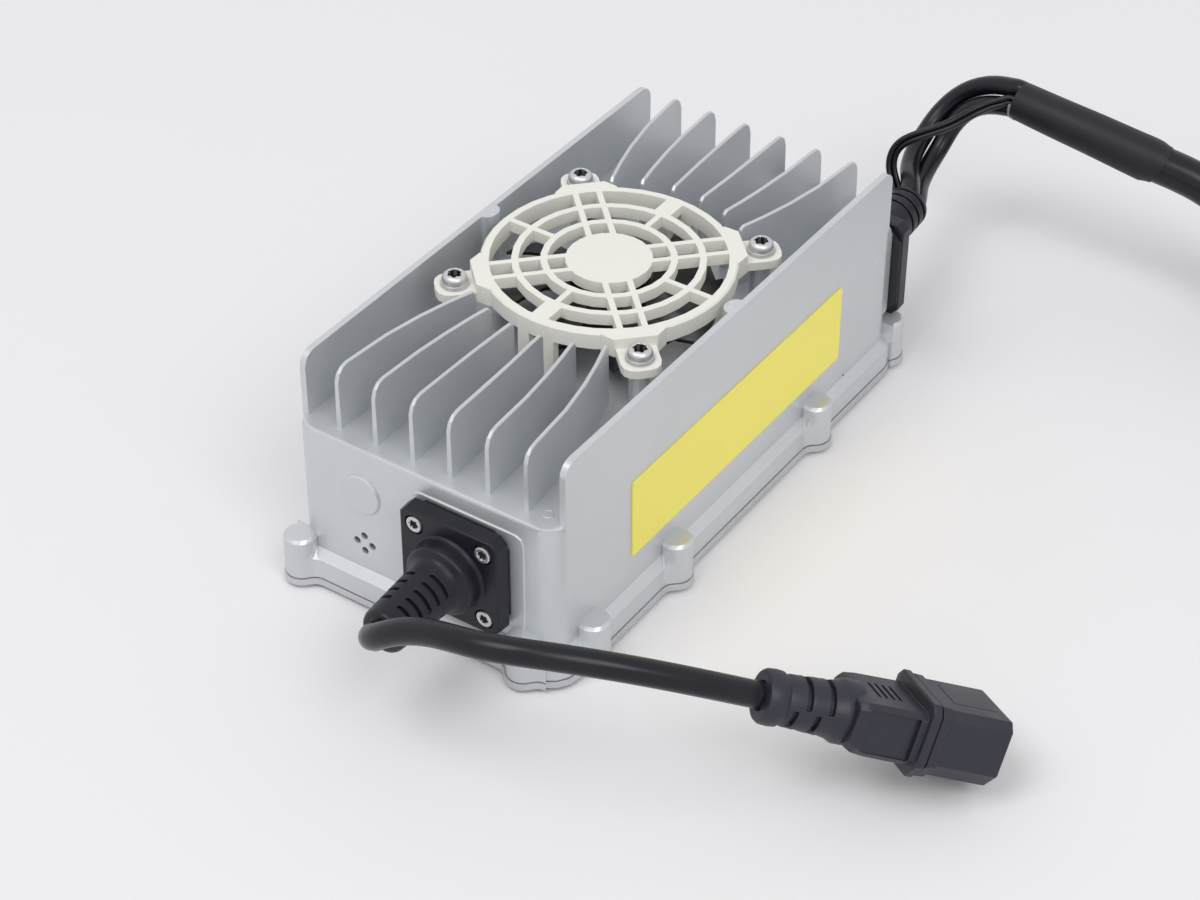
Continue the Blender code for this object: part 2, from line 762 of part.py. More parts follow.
def copy_of(original, name, location, parent=None):
    """A second object that shares the first one's mesh."""
    made = bpy.data.objects.new(name, original.data)
    made.location = location
    made.parent = parent
    bpy.context.scene.collection.objects.link(made)
    return made


def polar(radius, degrees, z=0.0):
    angle = math.radians(degrees)
    return Vector((radius * math.cos(angle), radius * math.sin(angle), z))


def guard_bars():
    """Spokes: a parallel pair on each diagonal and a single one between."""
    bm = bmesh.new()
    low, high = GUARD_TOP_Z - GUARD_BAR, GUARD_TOP_Z
    start, end = GUARD_HUB_RADIUS - 0.0010, GUARD_RIM_RADIUS
    half = GUARD_BAR_WIDTH / 2
    for quarter in range(4):
        for side in (-1, 1):
            first = len(bm.verts)
            middle = side * (SPOKE_PAIR / 2 - half)
            near = math.sqrt(start * start - middle * middle) - GUARD_BAR_WIDTH
            block(bm, (near, middle - half, low), (end, middle + half, high))
            turn_and_move(bm, first, Matrix.Rotation(math.radians(45 + 90 * quarter), 4, "Z"))
        first = len(bm.verts)
        block(bm, (GUARD_RING_RADII[0], -half, low), (end, half, high))
        turn_and_move(bm, first, Matrix.Rotation(math.radians(90 * quarter), 4, "Z"))
    return bm


def guard_webs():
    """Filled stretches on the Y spokes, and the legs that stand below them."""
    bm = bmesh.new()
    ring = GUARD_RIM_RADIUS
    for turn in (90, -90):
        first = len(bm.verts)
        block(
            bm, (GUARD_RING_RADII[1], -WEB_WIDTH / 2, GUARD_TOP_Z - GUARD_BAR * 0.8),
            (ring, WEB_WIDTH / 2, GUARD_TOP_Z),
        )
        turn_and_move(bm, first, Matrix.Rotation(math.radians(turn), 4, "Z"))
    return bm


def guard_legs():
    bm = bmesh.new()
    ring = GUARD_OUTER_RADIUS
    foot = DECK_Z + CLEAR
    top = GUARD_TOP_Z - GUARD_BAR / 2
    for turn in (90, -90):
        for side in (-1, 1):
            first = len(bm.verts)
            middle = side * LEG_OFFSET
            outer = ring - 0.0004
            block(
                bm, (outer - LEG_DEPTH, middle - LEG_WIDTH / 2, foot),
                (outer, middle + LEG_WIDTH / 2, top),
            )
            turn_and_move(bm, first, Matrix.Rotation(math.radians(turn), 4, "Z"))
    return bm


def guard_shoulders():
    """The rim reaches out in a blunt corner toward each ear."""
    bm = bmesh.new()
    half = SHOULDER_WIDTH / 2
    outline = [
        (GUARD_OUTER_RADIUS - GUARD_OUTER_WIDTH * 0.6, half + 0.0035),
        (GUARD_OUTER_RADIUS - GUARD_OUTER_WIDTH * 0.6, -half - 0.0035),
        (GUARD_OUTER_RADIUS - 0.0012, -half - 0.0035),
        (SHOULDER_REACH, -half), (SHOULDER_REACH, half),
        (GUARD_OUTER_RADIUS - 0.0012, half + 0.0035),
    ]
    for quarter in range(4):
        first = len(bm.verts)
        prism(bm, outline, EAR_TOP_Z - EAR_THICK, GUARD_TOP_Z)
        turn_and_move(bm, first, Matrix.Rotation(math.radians(45 + 90 * quarter), 4, "Z"))
    return bm


def guard_ears():
    bm = bmesh.new()
    half = EAR_SIZE / 2
    reach = SCREW_SQUARE / 2 * math.sqrt(2.0)
    outline = rounded_box(half, half, EAR_CORNER, 3)
    inner = GUARD_RIM_RADIUS - reach
    outline = [(inner if x < 0 else x, y if x > 0 else math.copysign(half, y)) for x, y in outline]
    tidy = []
    for point in outline:
        if not tidy or point != tidy[-1]:
            tidy.append(point)
    for quarter in range(4):
        first = len(bm.verts)
        prism(bm, tidy, EAR_TOP_Z - EAR_THICK, EAR_TOP_Z, (reach, 0.0))
        turn_and_move(bm, first, Matrix.Rotation(math.radians(45 + 90 * quarter), 4, "Z"))
    return bm


def make_guard(surface):
    top, low = GUARD_TOP_Z, GUARD_TOP_Z - GUARD_BAR
    skirt = GUARD_TOP_Z - GUARD_SKIRT
    bm = bmesh.new()
    inner = GUARD_OUTER_RADIUS - GUARD_OUTER_WIDTH
    turned(bm, (
        (inner, skirt), (inner, top), (GUARD_OUTER_RADIUS - 0.0006, top),
        (GUARD_OUTER_RADIUS, top - 0.0006), (GUARD_OUTER_RADIUS, skirt),
    ), 40)
    for radius, steps in zip(GUARD_RING_RADII, (26, 32)):
        half = GUARD_RING_WIDTH / 2
        outline = ((radius - half, low), (radius - half, top), (radius + half, top), (radius + half, low))
        turned(bm, outline, steps)
    prism(bm, circle(GUARD_HUB_RADIUS, 24), low, top)
    guard = new_object("fan_guard", bm, surface)
    boolean(guard, "UNION", "guard_bars", guard_bars())
    boolean(guard, "UNION", "guard_webs", guard_webs())
    boolean(guard, "UNION", "guard_shoulders", guard_shoulders())
    boolean(guard, "UNION", "guard_ears", guard_ears())
    boolean(guard, "UNION", "guard_legs", guard_legs())
    bores = bmesh.new()
    for x, y in fan_screw_places():
        hole = circle(FAN_SHANK_RADIUS + HOLE_PLAY, 8)
        prism(bores, hole, EAR_TOP_Z - EAR_THICK * 1.5, EAR_TOP_Z + EAR_THICK / 2, (x, y))
    boolean(guard, "DIFFERENCE", "ear_bores", bores)
    return guard


def make_fan_screws(surface):
    bm = bmesh.new()
    seat = EAR_TOP_Z + CLEAR
    end = EAR_TOP_Z - FAN_SCREW_REACH
    turned(bm, (
        (0.0, end), (FAN_SHANK_RADIUS, end), (FAN_SHANK_RADIUS, seat), (FAN_HEAD_RADIUS, seat),
        (FAN_HEAD_RADIUS, seat + FAN_HEAD * 0.4), (FAN_HEAD_RADIUS * 0.7, seat + FAN_HEAD),
        (0.0, seat + FAN_HEAD),
    )[::-1], 12)
    places = fan_screw_places()
    first = new_object("fan_screw_1", bm, surface)
    first.location = (*places[0], 0.0)
    for i, place in enumerate(places[1:], 2):
        copy_of(first, f"fan_screw_{i}", (*place, 0.0))


def blade(bm, turn):
    """One twisted blade, lofted outward from inside the rotor's wall."""
    low = ROTOR_BOTTOM_Z + 0.0008
    root = ROTOR_HUB_RADIUS - ROTOR_HUB_WALL / 2
    rings = []
    for share in (0.0, 0.35, 0.7, 1.0):
        radius = root + (ROTOR_TIP_RADIUS - root) * share
        rise = BLADE_RISE * (1.0 - 0.12 * share)
        upper, lower = [], []
        for step in range(4):
            s = step / 3
            angle = turn + BLADE_LEAN * share + BLADE_SPAN_ANGLE * (s - 0.5)
            camber = 0.0012 * math.sin(math.pi * s)
            z = low + rise * s + camber
            upper.append(polar(radius, angle, z + BLADE_THICK))
            lower.append(polar(radius, angle, z))
        rings.append(upper + lower[::-1])
    loft(bm, rings)


def make_rotor(surface, parent):
    bm = bmesh.new()
    bore = ROTOR_HUB_RADIUS - ROTOR_HUB_WALL
    floor = ROTOR_BOTTOM_Z + ROTOR_HUB_WALL
    neck_top = GUARD_TOP_Z - GUARD_BAR - CLEAR - STATOR_FLANGE - CLEAR
    turned(bm, (
        (0.0, neck_top), (SHAFT_RADIUS, neck_top), (SHAFT_RADIUS, floor), (bore, floor),
        (bore, ROTOR_TOP_Z), (ROTOR_HUB_RADIUS, ROTOR_TOP_Z),
        (ROTOR_HUB_RADIUS, ROTOR_BOTTOM_Z + 0.0008), (ROTOR_HUB_RADIUS - 0.0008, ROTOR_BOTTOM_Z),
        (0.0, ROTOR_BOTTOM_Z),
    ), 24)
    bmesh.ops.translate(bm, verts=bm.verts, vec=(0.0, 0.0, -ROTOR_BOTTOM_Z))
    rotor = new_object("fan_rotor", bm, surface, parent=parent)
    blades = bmesh.new()
    for i in range(ROTOR_BLADES):
        blade(blades, 360.0 * i / ROTOR_BLADES)
    bmesh.ops.translate(blades, verts=blades.verts, vec=(0.0, 0.0, -ROTOR_BOTTOM_Z))
    boolean(rotor, "UNION", "rotor_blades", blades, parent=parent)
    return rotor


def make_stator(surface):
    """The motor's fixed core hangs under the guard's hub round the shaft."""
    bm = bmesh.new()
    top = GUARD_TOP_Z - GUARD_BAR - CLEAR
    flange = top - STATOR_FLANGE
    low = ROTOR_BOTTOM_Z + ROTOR_HUB_WALL + STATOR_GAP
    bore = SHAFT_RADIUS + CLEAR
    core_top = ROTOR_TOP_Z - STATOR_GAP
    turned(bm, (
        (0.0, top), (ROTOR_HUB_RADIUS - ROTOR_HUB_WALL, top), (ROTOR_HUB_RADIUS - ROTOR_HUB_WALL, flange),
        (STATOR_NECK_RADIUS, flange), (STATOR_NECK_RADIUS, core_top), (STATOR_RADIUS, core_top),
        (STATOR_RADIUS, low), (bore, low), (bore, flange), (0.0, flange),
    ), 20)
    new_object("fan_stator", bm, surface)


def boot_radius(height):
    share = (height - BOOT_START) / (BOOT_LENGTH - BOOT_START)
    return BOOT_ROOT_RADIUS + (BOOT_TIP_RADIUS - BOOT_ROOT_RADIUS) * max(0.0, min(1.0, share))


def boot(bm, steps=10):
    """Collar, cone and ribbed boot about +Z, from inside the plate outward.

    The ribs come from two sets of short slots. One set faces one diagonal
    and the other set, half a pitch further out, faces the other.
    """
    levels = [(-GLAND_BACK - BODY_WALL, GLAND_SPIGOT_RADIUS, None)]
    levels.append((GLAND_THICK * 0.5, GLAND_SPIGOT_RADIUS, None))
    levels.append((GLAND_THICK * 0.5 + 1e-5, COLLAR_RADIUS, None))
    levels.append((GLAND_THICK + COLLAR_HEIGHT * 0.5, COLLAR_RADIUS, None))
    levels.append((GLAND_THICK + COLLAR_HEIGHT, COLLAR_RADIUS * 0.9, None))
    levels.append((BOOT_START * 0.92, BOOT_ROOT_RADIUS * 1.12, None))
    levels.append((BOOT_START, BOOT_ROOT_RADIUS, None))
    first = BOOT_START + SLOT_PITCH / 4
    for row in range(SLOT_ROWS):
        middle = first + SLOT_PITCH / 2 * (row + 0.5)
        if middle + SLOT_WIDTH / 2 > BOOT_LENGTH - BOOT_ROUND:
            break
        for share, deep in ((-0.5, False), (-0.4, True), (0.4, True), (0.5, False)):
            height = middle + SLOT_WIDTH * share
            levels.append((height, boot_radius(height), row % 2 if deep else None))
    levels.append((BOOT_LENGTH - BOOT_ROUND, BOOT_TIP_RADIUS, None))
    levels.append((BOOT_LENGTH - BOOT_ROUND * 0.4, BOOT_TIP_RADIUS - BOOT_ROUND * 0.3, None))
    levels.append((BOOT_LENGTH, BOOT_TIP_RADIUS - BOOT_ROUND, None))
    rings = []
    for height, radius, slotted in levels:
        ring = []
        for step in range(steps):
            angle = 360.0 * (step + 0.5) / steps
            toward = (angle + 45.0 + 90.0 * (slotted or 0)) % 180.0
            cut = SLOT_DEPTH if slotted is not None and abs(toward - 90.0) < 36.0 else 0.0
            ring.append(polar(radius - cut, angle, height))
        rings.append(ring)
    loft(bm, rings)


def make_gland(kind, end, black, steel):
    """Gland plate with its moulded boot, its seal and its four screws."""
    x, z = (AC_GLAND_X, AC_GLAND_Z) if end < 0 else (DC_GLAND_X, DC_GLAND_Z)
    turn = (math.radians(90.0 if end < 0 else -90.0), 0.0, 0.0)
    frame = empty(f"{kind}_gland_frame", (x, end * (HALF_L + GLAND_BACK), z), turn)
    half = GLAND_SIZE / 2
    bm = bmesh.new()
    rings = []
    for height, inset in (
        (0.0, 0.0), (GLAND_THICK - 0.0012, GLAND_DRAFT * 0.5),
        (GLAND_THICK - 0.0003, GLAND_DRAFT), (GLAND_THICK, GLAND_DRAFT + 0.0006),
    ):
        rings.append(at_height(cut_box(half - inset, half - inset, GLAND_CUT - inset * 0.6), height))
    loft(bm, rings)
    plate = new_object(f"{kind}_gland", bm, black, parent=frame)
    moulding = bmesh.new()
    boot(moulding)
    boolean(plate, "UNION", f"{kind}_boot", moulding, parent=frame)
    bores = bmesh.new()
    head, shank = GLAND_HEAD_RADIUS + HOLE_PLAY, GLAND_SHANK_RADIUS + HOLE_PLAY
    step = GLAND_THICK - GLAND_HEAD
    for place in gland_screw_places():
        turned(bores, (
            (0.0, GLAND_THICK * 2), (head, GLAND_THICK * 2), (head, step),
            (shank, step), (shank, -GLAND_THICK), (0.0, -GLAND_THICK),
        ), 10, place)
    boolean(plate, "DIFFERENCE", f"{kind}_gland_bores", bores, parent=frame)
    seal_frame = empty(f"{kind}_seal_frame", (x, end * (HALF_L + PAD_OUT + CLEAR), z), turn)
    seal = bmesh.new()
    prism(seal, cut_box(half - SEAL_INSET, half - SEAL_INSET, GLAND_CUT), 0.0, SEAL_THICK)
    seal_plate = new_object(f"{kind}_seal", seal, black, parent=seal_frame)
    holes = bmesh.new()
    low, high = -SEAL_THICK, 2 * SEAL_THICK
    prism(holes, circle(GLAND_SPIGOT_RADIUS + HOLE_PLAY, 20), low, high)
    for place in gland_screw_places():
        prism(holes, circle(GLAND_SHANK_RADIUS + HOLE_PLAY, 8), low, high, place)
    boolean(seal_plate, "DIFFERENCE", f"{kind}_seal_holes", holes, parent=seal_frame)
    screw = bmesh.new()
    seat = GLAND_THICK - GLAND_HEAD + CLEAR
    tip = PAD_OUT - GLAND_SCREW_BITE - GLAND_BACK
    turned(screw, (
        (0.0, seat + GLAND_HEAD), (GLAND_HEAD_RADIUS, seat + GLAND_HEAD * 0.8),
        (GLAND_HEAD_RADIUS, seat), (GLAND_SHANK_RADIUS, seat), (GLAND_SHANK_RADIUS, tip), (0.0, tip),
    ), 10)
    first_screw = None
    for i, place in enumerate(gland_screw_places(), 1):
        name = f"{kind}_gland_screw_{i}"
        if first_screw is None:
            first_screw = new_object(name, screw, steel, parent=frame)
            first_screw.location = (*place, 0.0)
        else:
            copy_of(first_screw, name, (*place, 0.0), parent=frame)


def make_label(surface):
    bm = bmesh.new()
    outline = rounded_box(LABEL_LENGTH / 2, LABEL_HEIGHT / 2, LABEL_CORNER)
    prism(bm, outline, 0.0, LABEL_THICK)
    stand = Matrix(((0, 0, 1, 0), (1, 0, 0, 0), (0, 1, 0, 0), (0, 0, 0, 1)))
    turn_and_move(bm, 0, stand)
    label = new_object("side_label", bm, surface)
    label.location = (HALF_W + CLEAR, LABEL_Y, LABEL_Z)


def core_piece(surface):
    """Transformer core that stands at the origin, open where its windings pass."""
    wide, deep, tall = CORE_SIZE
    core = bmesh.new()
    block(core, (-wide / 2, -deep / 2, 0.0), (wide / 2, deep / 2, tall))
    made = new_object("transformer_core", core, surface)
    window = bmesh.new()
    for side in (-1, 1):
        low, high = sorted((side * wide * 0.12, side * wide * 0.38))
        block(window, (low, -deep, tall * 0.22), (high, deep, tall * 0.78))
    boolean(made, "DIFFERENCE", "core_windows", window, parent=made)
    return made


def can_piece(name, height, surface):
    can = bmesh.new()
    turned(can, (
        (0.0, height), (CAPACITOR_RADIUS * 0.9, height),
        (CAPACITOR_RADIUS, height - CAPACITOR_RADIUS * 0.1), (CAPACITOR_RADIUS, 0.0), (0.0, 0.0),
    ), 16)
    return new_object(name, can, surface)


def choke_piece(surface):
    """Wound ring that lies flat, with its middle at the origin."""
    choke = bmesh.new()
    half = CHOKE_WIDTH / 2
    turned(choke, (
        (CHOKE_RADIUS * 0.45, -half), (CHOKE_RADIUS * 0.45, half),
        (CHOKE_RADIUS, half), (CHOKE_RADIUS, -half),
    ), 18)
    return new_object("choke", choke, surface)


def make_inside(board_surface, dark, copper, aluminium):
    """Circuit board and the main pieces that stand on it."""
    top = BOARD_Z + BOARD_THICK
    seat = top + CLEAR
    half_x = HALF_W - BODY_WALL - BOARD_MARGIN
    half_y = HALF_L - BODY_WALL - BOARD_MARGIN
    bm = bmesh.new()
    prism(bm, rounded_box(half_x, half_y, BODY_CORNER - BODY_WALL, 2), BOARD_Z, top)
    new_object("circuit_board", bm, board_surface)
    bar_y = BAR_LENGTH / 2
    bar = bmesh.new()
    bar_x = half_x - BAR_THICK * 0.9
    block(bar, (bar_x - BAR_THICK / 2, -bar_y, seat), (bar_x + BAR_THICK / 2, bar_y, CEILING_Z - CLEAR))
    new_object("heat_bar", bar, aluminium)
    device_x = bar_x - BAR_THICK / 2 - CLEAR
    thick, broad, high = DEVICE_SIZE
    for i in range(3):
        device = bmesh.new()
        y = (i - 1) * BAR_LENGTH / 3
        block(device, (device_x - thick, y - broad / 2, seat), (device_x, y + broad / 2, seat + high))
        new_object(f"power_device_{i + 1}", device, dark)
    row_x = (device_x - thick - half_x) / 2
    pieces = (
        (core_piece(dark), CORE_SIZE[1], seat),
        (can_piece("capacitor_1", CEILING_Z - CAPACITOR_GAP - seat, aluminium), CAPACITOR_RADIUS * 2, seat),
        (can_piece("capacitor_2", CEILING_Z - CAPACITOR_GAP - seat, aluminium), CAPACITOR_RADIUS * 2, seat),
        (choke_piece(copper), CHOKE_RADIUS * 2, seat + CHOKE_WIDTH / 2),
    )
    gap = (2 * half_y - sum(length for _piece, length, _z in pieces)) / (len(pieces) + 1)
    start = -half_y
    for piece, length, z in pieces:
        start += gap
        piece.location = (row_x, start + length / 2, z)
        start += length
    lamp = bmesh.new()
    front = -HALF_L + BODY_WALL + CLEAR
    side = LIGHT_SPREAD + LIGHT_HOLE_RADIUS * 2
    block(lamp, (LIGHT_X - side, front, seat), (LIGHT_X + side, front + 0.0040, LIGHT_Z + side))
    lamp_object = new_object("status_light", lamp, copper)
    studs = bmesh.new()
    turn = Matrix.Rotation(math.radians(90.0), 4, "X")
    for x, y in light_places():
        first = len(studs.verts)
        stud = circle(LIGHT_HOLE_RADIUS - HOLE_PLAY, 8)
        prism(studs, stud, -BODY_WALL - 0.0020, -0.0008, (x, y))
        turn_and_move(studs, first, Matrix.Translation((LIGHT_X, -HALF_L, LIGHT_Z)) @ turn)
    boolean(lamp_object, "UNION", "light_studs", studs)


def plug_frame():
    """The plug's own axes: X across it, Y out of its nose, Z up."""
    out = Vector(PLUG_OUT).normalized()
    across = Vector(PLUG_ACROSS)
    across = (across - out * across.dot(out)).normalized()
    turn = Matrix((across, out, across.cross(out))).transposed()
    return empty("plug_frame", PLUG_NOSE, turn.to_euler())


def plug_ring(half_x, half_z, cut, y, round_top=0.0012):
    outline = cut_box(half_x, half_z, round_top, cut)
    return [Vector((x, y, z)) for x, z in outline]


def make_plug(black, metal):
    frame = plug_frame()
    half_x, half_z = PLUG_SHROUD_WIDTH / 2, PLUG_SHROUD_HEIGHT / 2
    grow = PLUG_COLLAR_OUT
    body_x, body_z = PLUG_BODY_WIDTH / 2, PLUG_BODY_HEIGHT / 2
    collar = PLUG_SHROUD_DEPTH + PLUG_COLLAR
    bm = bmesh.new()
    rings = [
        plug_ring(half_x, half_z, PLUG_CUT, 0.0),
        plug_ring(half_x, half_z, PLUG_CUT, -PLUG_SHROUD_DEPTH),
        plug_ring(half_x + grow, half_z + grow, PLUG_CUT, -PLUG_SHROUD_DEPTH - 0.0003),
        plug_ring(half_x + grow, half_z + grow, PLUG_CUT, -collar + 0.0015),
        plug_ring(half_x, half_z, PLUG_CUT, -collar),
        plug_ring(body_x, body_z, 0.0030, -collar - 0.0030, 0.0022),
        plug_ring(body_x * 0.94, body_z * 0.94, 0.0030, -PLUG_BODY_END + 0.0020, 0.0022),
        plug_ring(body_x * 0.86, body_z * 0.86, 0.0030, -PLUG_BODY_END, 0.0022),
    ]
    loft(bm, rings)
    body = new_object("plug_body", bm, black, parent=frame)
    recess = bmesh.new()
    wall = PLUG_SHROUD_WALL
    loft(recess, [
        plug_ring(half_x - wall, half_z - wall, PLUG_CUT - wall * 0.6, 0.0020),
        plug_ring(half_x - wall, half_z - wall, PLUG_CUT - wall * 0.6, -PLUG_RECESS),
    ])
    boolean(body, "DIFFERENCE", "plug_recess", recess, parent=frame)
    grips = bmesh.new()
    for i in range(4):
        y = -collar - 0.0060 - 0.0040 * i
        block(grips, (-body_x * 0.55, y - 0.0007, body_z * 0.86), (body_x * 0.55, y + 0.0007, body_z * 1.2))
    boolean(body, "DIFFERENCE", "plug_grips", grips, parent=frame)
    tail = bmesh.new()
    profile = [(0.0, -PLUG_BODY_END + 0.0040), (PLUG_BOOT_RADIUS, -PLUG_BODY_END + 0.0040)]
    profile.append((PLUG_BOOT_RADIUS, -PLUG_BODY_END - 0.0030))
    for i in range(4):
        y = -PLUG_BODY_END - 0.0040 - 0.0046 * i
        radius = PLUG_BOOT_RADIUS + (PLUG_BOOT_TIP_RADIUS - PLUG_BOOT_RADIUS) * (i + 1) / 5
        for offset, depth in ((0.0, 0.0), (-0.0003, 0.0013), (-0.0017, 0.0013), (-0.0020, 0.0)):
            profile.append((radius - depth, y + offset))
    end = -PLUG_LENGTH
    profile += [(PLUG_BOOT_TIP_RADIUS, end + 0.0060), (PLUG_BOOT_RADIUS, end + 0.0050)]
    profile += [(PLUG_BOOT_RADIUS, end + 0.0010), (PLUG_BOOT_RADIUS - 0.0010, end), (0.0, end)]
    turned(tail, profile, 14)
    turn_and_move(tail, 0, Matrix(((1, 0, 0, 0), (0, 0, 1, 0), (0, -1, 0, 0), (0, 0, 0, 1))))
    boolean(body, "UNION", "plug_boot", tail, parent=frame)
    wide, tall, long = PIN_SIZE
    for i, (x, z) in enumerate(((-PIN_SPREAD, 0.0), (0.0, PIN_STEP), (PIN_SPREAD, 0.0)), 1):
        pin = bmesh.new()
        start = -PLUG_RECESS + CLEAR
        half_x, half_z = wide / 2, tall / 2
        outline = [(-half_x, -half_z), (half_x, -half_z), (half_x, half_z), (-half_x, half_z)]
        shrunk = [(x_ * 0.7, z_ * 0.8) for x_, z_ in outline]
        rings = []
        for shape, y in ((outline, start), (outline, start + long - 0.0010), (shrunk, start + long)):
            rings.append([Vector((x_, y, z_)) for x_, z_ in shape])
        loft(pin, rings)
        pin_object = new_object(f"plug_pin_{i}", pin, metal, parent=frame)
        pin_object.location = (x, 0.0, z)


def smooth_route(points, spacing):
    """Evenly spaced points on a natural cubic curve through the given points."""
    route = [Vector(point) for point in points]
    count = len(route)
    knots = [0.0]
    for before, after in zip(route, route[1:]):
        knots.append(knots[-1] + (after - before).length)
    steps = [knots[i + 1] - knots[i] for i in range(count - 1)]
    upper, bends = [0.0] * count, [Vector((0, 0, 0))] * count
    for i in range(1, count - 1):
        rise = (route[i + 1] - route[i]) / steps[i] - (route[i] - route[i - 1]) / steps[i - 1]
        pivot = 2 * (steps[i - 1] + steps[i]) - steps[i - 1] * upper[i - 1]
        upper[i] = steps[i] / pivot
        bends[i] = (rise * 6 - bends[i - 1] * steps[i - 1]) / pivot
    for i in range(count - 2, 0, -1):
        bends[i] = bends[i] - bends[i + 1] * upper[i]

    def at(distance):
        i = 0
        while i < count - 2 and distance > knots[i + 1]:
            i += 1
        step = steps[i]
        a, b = (knots[i + 1] - distance) / step, (distance - knots[i]) / step
        curve = bends[i] * (a ** 3 - a) + bends[i + 1] * (b ** 3 - b)
        return route[i] * a + route[i + 1] * b + curve * step * step / 6

    fine = [at(knots[-1] * i / 400) for i in range(401)]
    lengths = [0.0]
    for before, after in zip(fine, fine[1:]):
        lengths.append(lengths[-1] + (after - before).length)
    pieces = max(2, round(lengths[-1] / spacing))
    even, index = [fine[0]], 0
    for piece in range(1, pieces):
        target = lengths[-1] * piece / pieces
        while lengths[index + 1] < target:
            index += 1
        share = (target - lengths[index]) / (lengths[index + 1] - lengths[index])
        even.append(fine[index].lerp(fine[index + 1], share))
    return even + [fine[-1]]


def with_straight_ends(route, spacing):
    """Sample a route evenly, but keep its first and last run as they are."""
    return [route[0]] + smooth_route(route[1:-1], spacing) + [route[-1]]


def tube(name, points, radius, surface, resolution=3, radii=None):
    """A cord's plain solid: a round bevel along straight pieces of its route."""
    curve = bpy.data.curves.new(name, "CURVE")
    curve.dimensions = "3D"
    curve.bevel_depth = radius
    curve.bevel_resolution = resolution
    curve.use_fill_caps = True
    spline = curve.splines.new("POLY")
    spline.points.add(len(points) - 1)
    for i, point in enumerate(points):
        spline.points[i].co = (*point, 1.0)
        if radii:
            spline.points[i].radius = radii[i] / radius
    curve.materials.append(surface)
    made = bpy.data.objects.new(name, curve)
    bpy.context.scene.collection.objects.link(made)
    return made


# Routes of the leads, as points that they pass through. The mains lead
# arches up from its boot and comes down to the plug; the output leads climb
# away from theirs and turn to the right.
AC_ROUTE = (
    (0.0157, -0.1482, 0.0390), (0.0200, -0.1528, 0.0446), (0.0295, -0.1540, 0.0522),
    (0.0407, -0.1540, 0.0577), (0.0600, -0.1542, 0.0627), (0.0765, -0.1482, 0.0629),
    (0.0910, -0.1390, 0.0599), (0.1023, -0.1302, 0.0557), (0.1130, -0.1204, 0.0500),
)
DC_ROUTE = (
    (0.0314, 0.1508, 0.0400), (0.0268, 0.1596, 0.0396), (0.0237, 0.1696, 0.0410),
    (0.0232, 0.1790, 0.0450), (0.0252, 0.1862, 0.0518), (0.0310, 0.1902, 0.0588),
    (0.0400, 0.1910, 0.0638),
)
DC_LEANS = (
    (0.95, -0.1, -0.3), (0.85, -0.2, -0.5), (0.8, -0.2, -0.6), (0.75, -0.3, -0.6),
    (0.6, -0.55, -0.6), (0.4, -0.6, -0.7), (0.1, -0.6, -0.8),
)
SLEEVE_MOUTH = (0.0515, 0.1898, 0.0660)
SLEEVE_LEAN = (0.0, -0.5, -0.87)
SLEEVE_ROUTE = ((0.0682, 0.1890, 0.0645), (0.0839, 0.1900, 0.0620), (0.1033, 0.1915, 0.0585))
CORD_ROUTE = (
    (0.1217, 0.1951, 0.0535), (0.1385, 0.1963, 0.0452), (0.1542, 0.1928, 0.0342),
    (0.1682, 0.1860, 0.0235), (0.1808, 0.1781, 0.0150), (0.1928, 0.1704, 0.0093),
)
SIGNAL_ROUTE = (
    (0.0308, 0.1485, 0.0468), (0.0252, 0.1516, 0.0480), (0.0207, 0.1545, 0.0492),
    (0.0208, 0.1578, 0.0522), (0.0248, 0.1608, 0.0558), (0.0345, 0.1675, 0.0615),
    (0.0430, 0.1775, 0.0645),
)


def straight_ends(points, start, out, end, back):
    """Add a short straight run to each end of a route."""
    first, last = Vector(start), Vector(end)
    lead_in = [first, first + Vector(out) * 0.0020]
    lead_out = [last + Vector(back) * 0.0020, last]
    return lead_in + [Vector(point) for point in points] + lead_out


def output_bundle():
    """Middle line of the two output leads, with the way they lie side by side."""
    start = Vector((DC_GLAND_X, HALF_L + GLAND_BACK + BOOT_LENGTH + CLEAR, DC_GLAND_Z))
    points = [start] + [Vector(point) for point in DC_ROUTE] + [Vector(SLEEVE_MOUTH)]
    leans = [Vector((1, 0, 0))] + [Vector(lean) for lean in DC_LEANS] + [Vector(SLEEVE_LEAN)]
    return points, leans


def beside(points, leans, offset, last_way):
    """Shift each point of a route sideways by the offset, along its lean."""
    moved = []
    for i, (point, lean) in enumerate(zip(points, leans)):
        before, after = points[max(i - 1, 0)], points[min(i + 1, len(points) - 1)]
        along = (after - before).normalized()
        if i == 0:
            along = Vector((0, 1, 0))
        if i == len(points) - 1:
            along = last_way
        side = (lean - along * lean.dot(along)).normalized()
        moved.append(point + side * offset)
    return moved


def make_leads(black):
    start = (AC_GLAND_X, -(HALF_L + GLAND_BACK + BOOT_LENGTH + CLEAR), AC_GLAND_Z)
    out = Vector(PLUG_OUT).normalized()
    end = Vector(PLUG_NOSE) - out * (PLUG_LENGTH + CLEAR)
    route = straight_ends(AC_ROUTE, start, (0, -1, 0), end, -out)
    tube("ac_lead", with_straight_ends(route, AC_LEAD_RADIUS * 2.6), AC_LEAD_RADIUS, black, 3)
    points, leans = output_bundle()
    gap = DC_LEAD_RADIUS + CLEAR / 2
    into = (Vector(SLEEVE_ROUTE[0]) - Vector(SLEEVE_MOUTH)).normalized()
    for name, side in (("output_lead_1", 1), ("output_lead_2", -1)):
        moved = beside(points, leans, side * gap, into)
        moved[-1] = moved[-1] - into * CLEAR
        moved.insert(-1, moved[-1] - into * 0.0020)
        moved.insert(1, moved[0] + Vector((0, 0.0020, 0)))
        tube(name, with_straight_ends(moved, DC_LEAD_RADIUS * 2.4), DC_LEAD_RADIUS, black, 2)


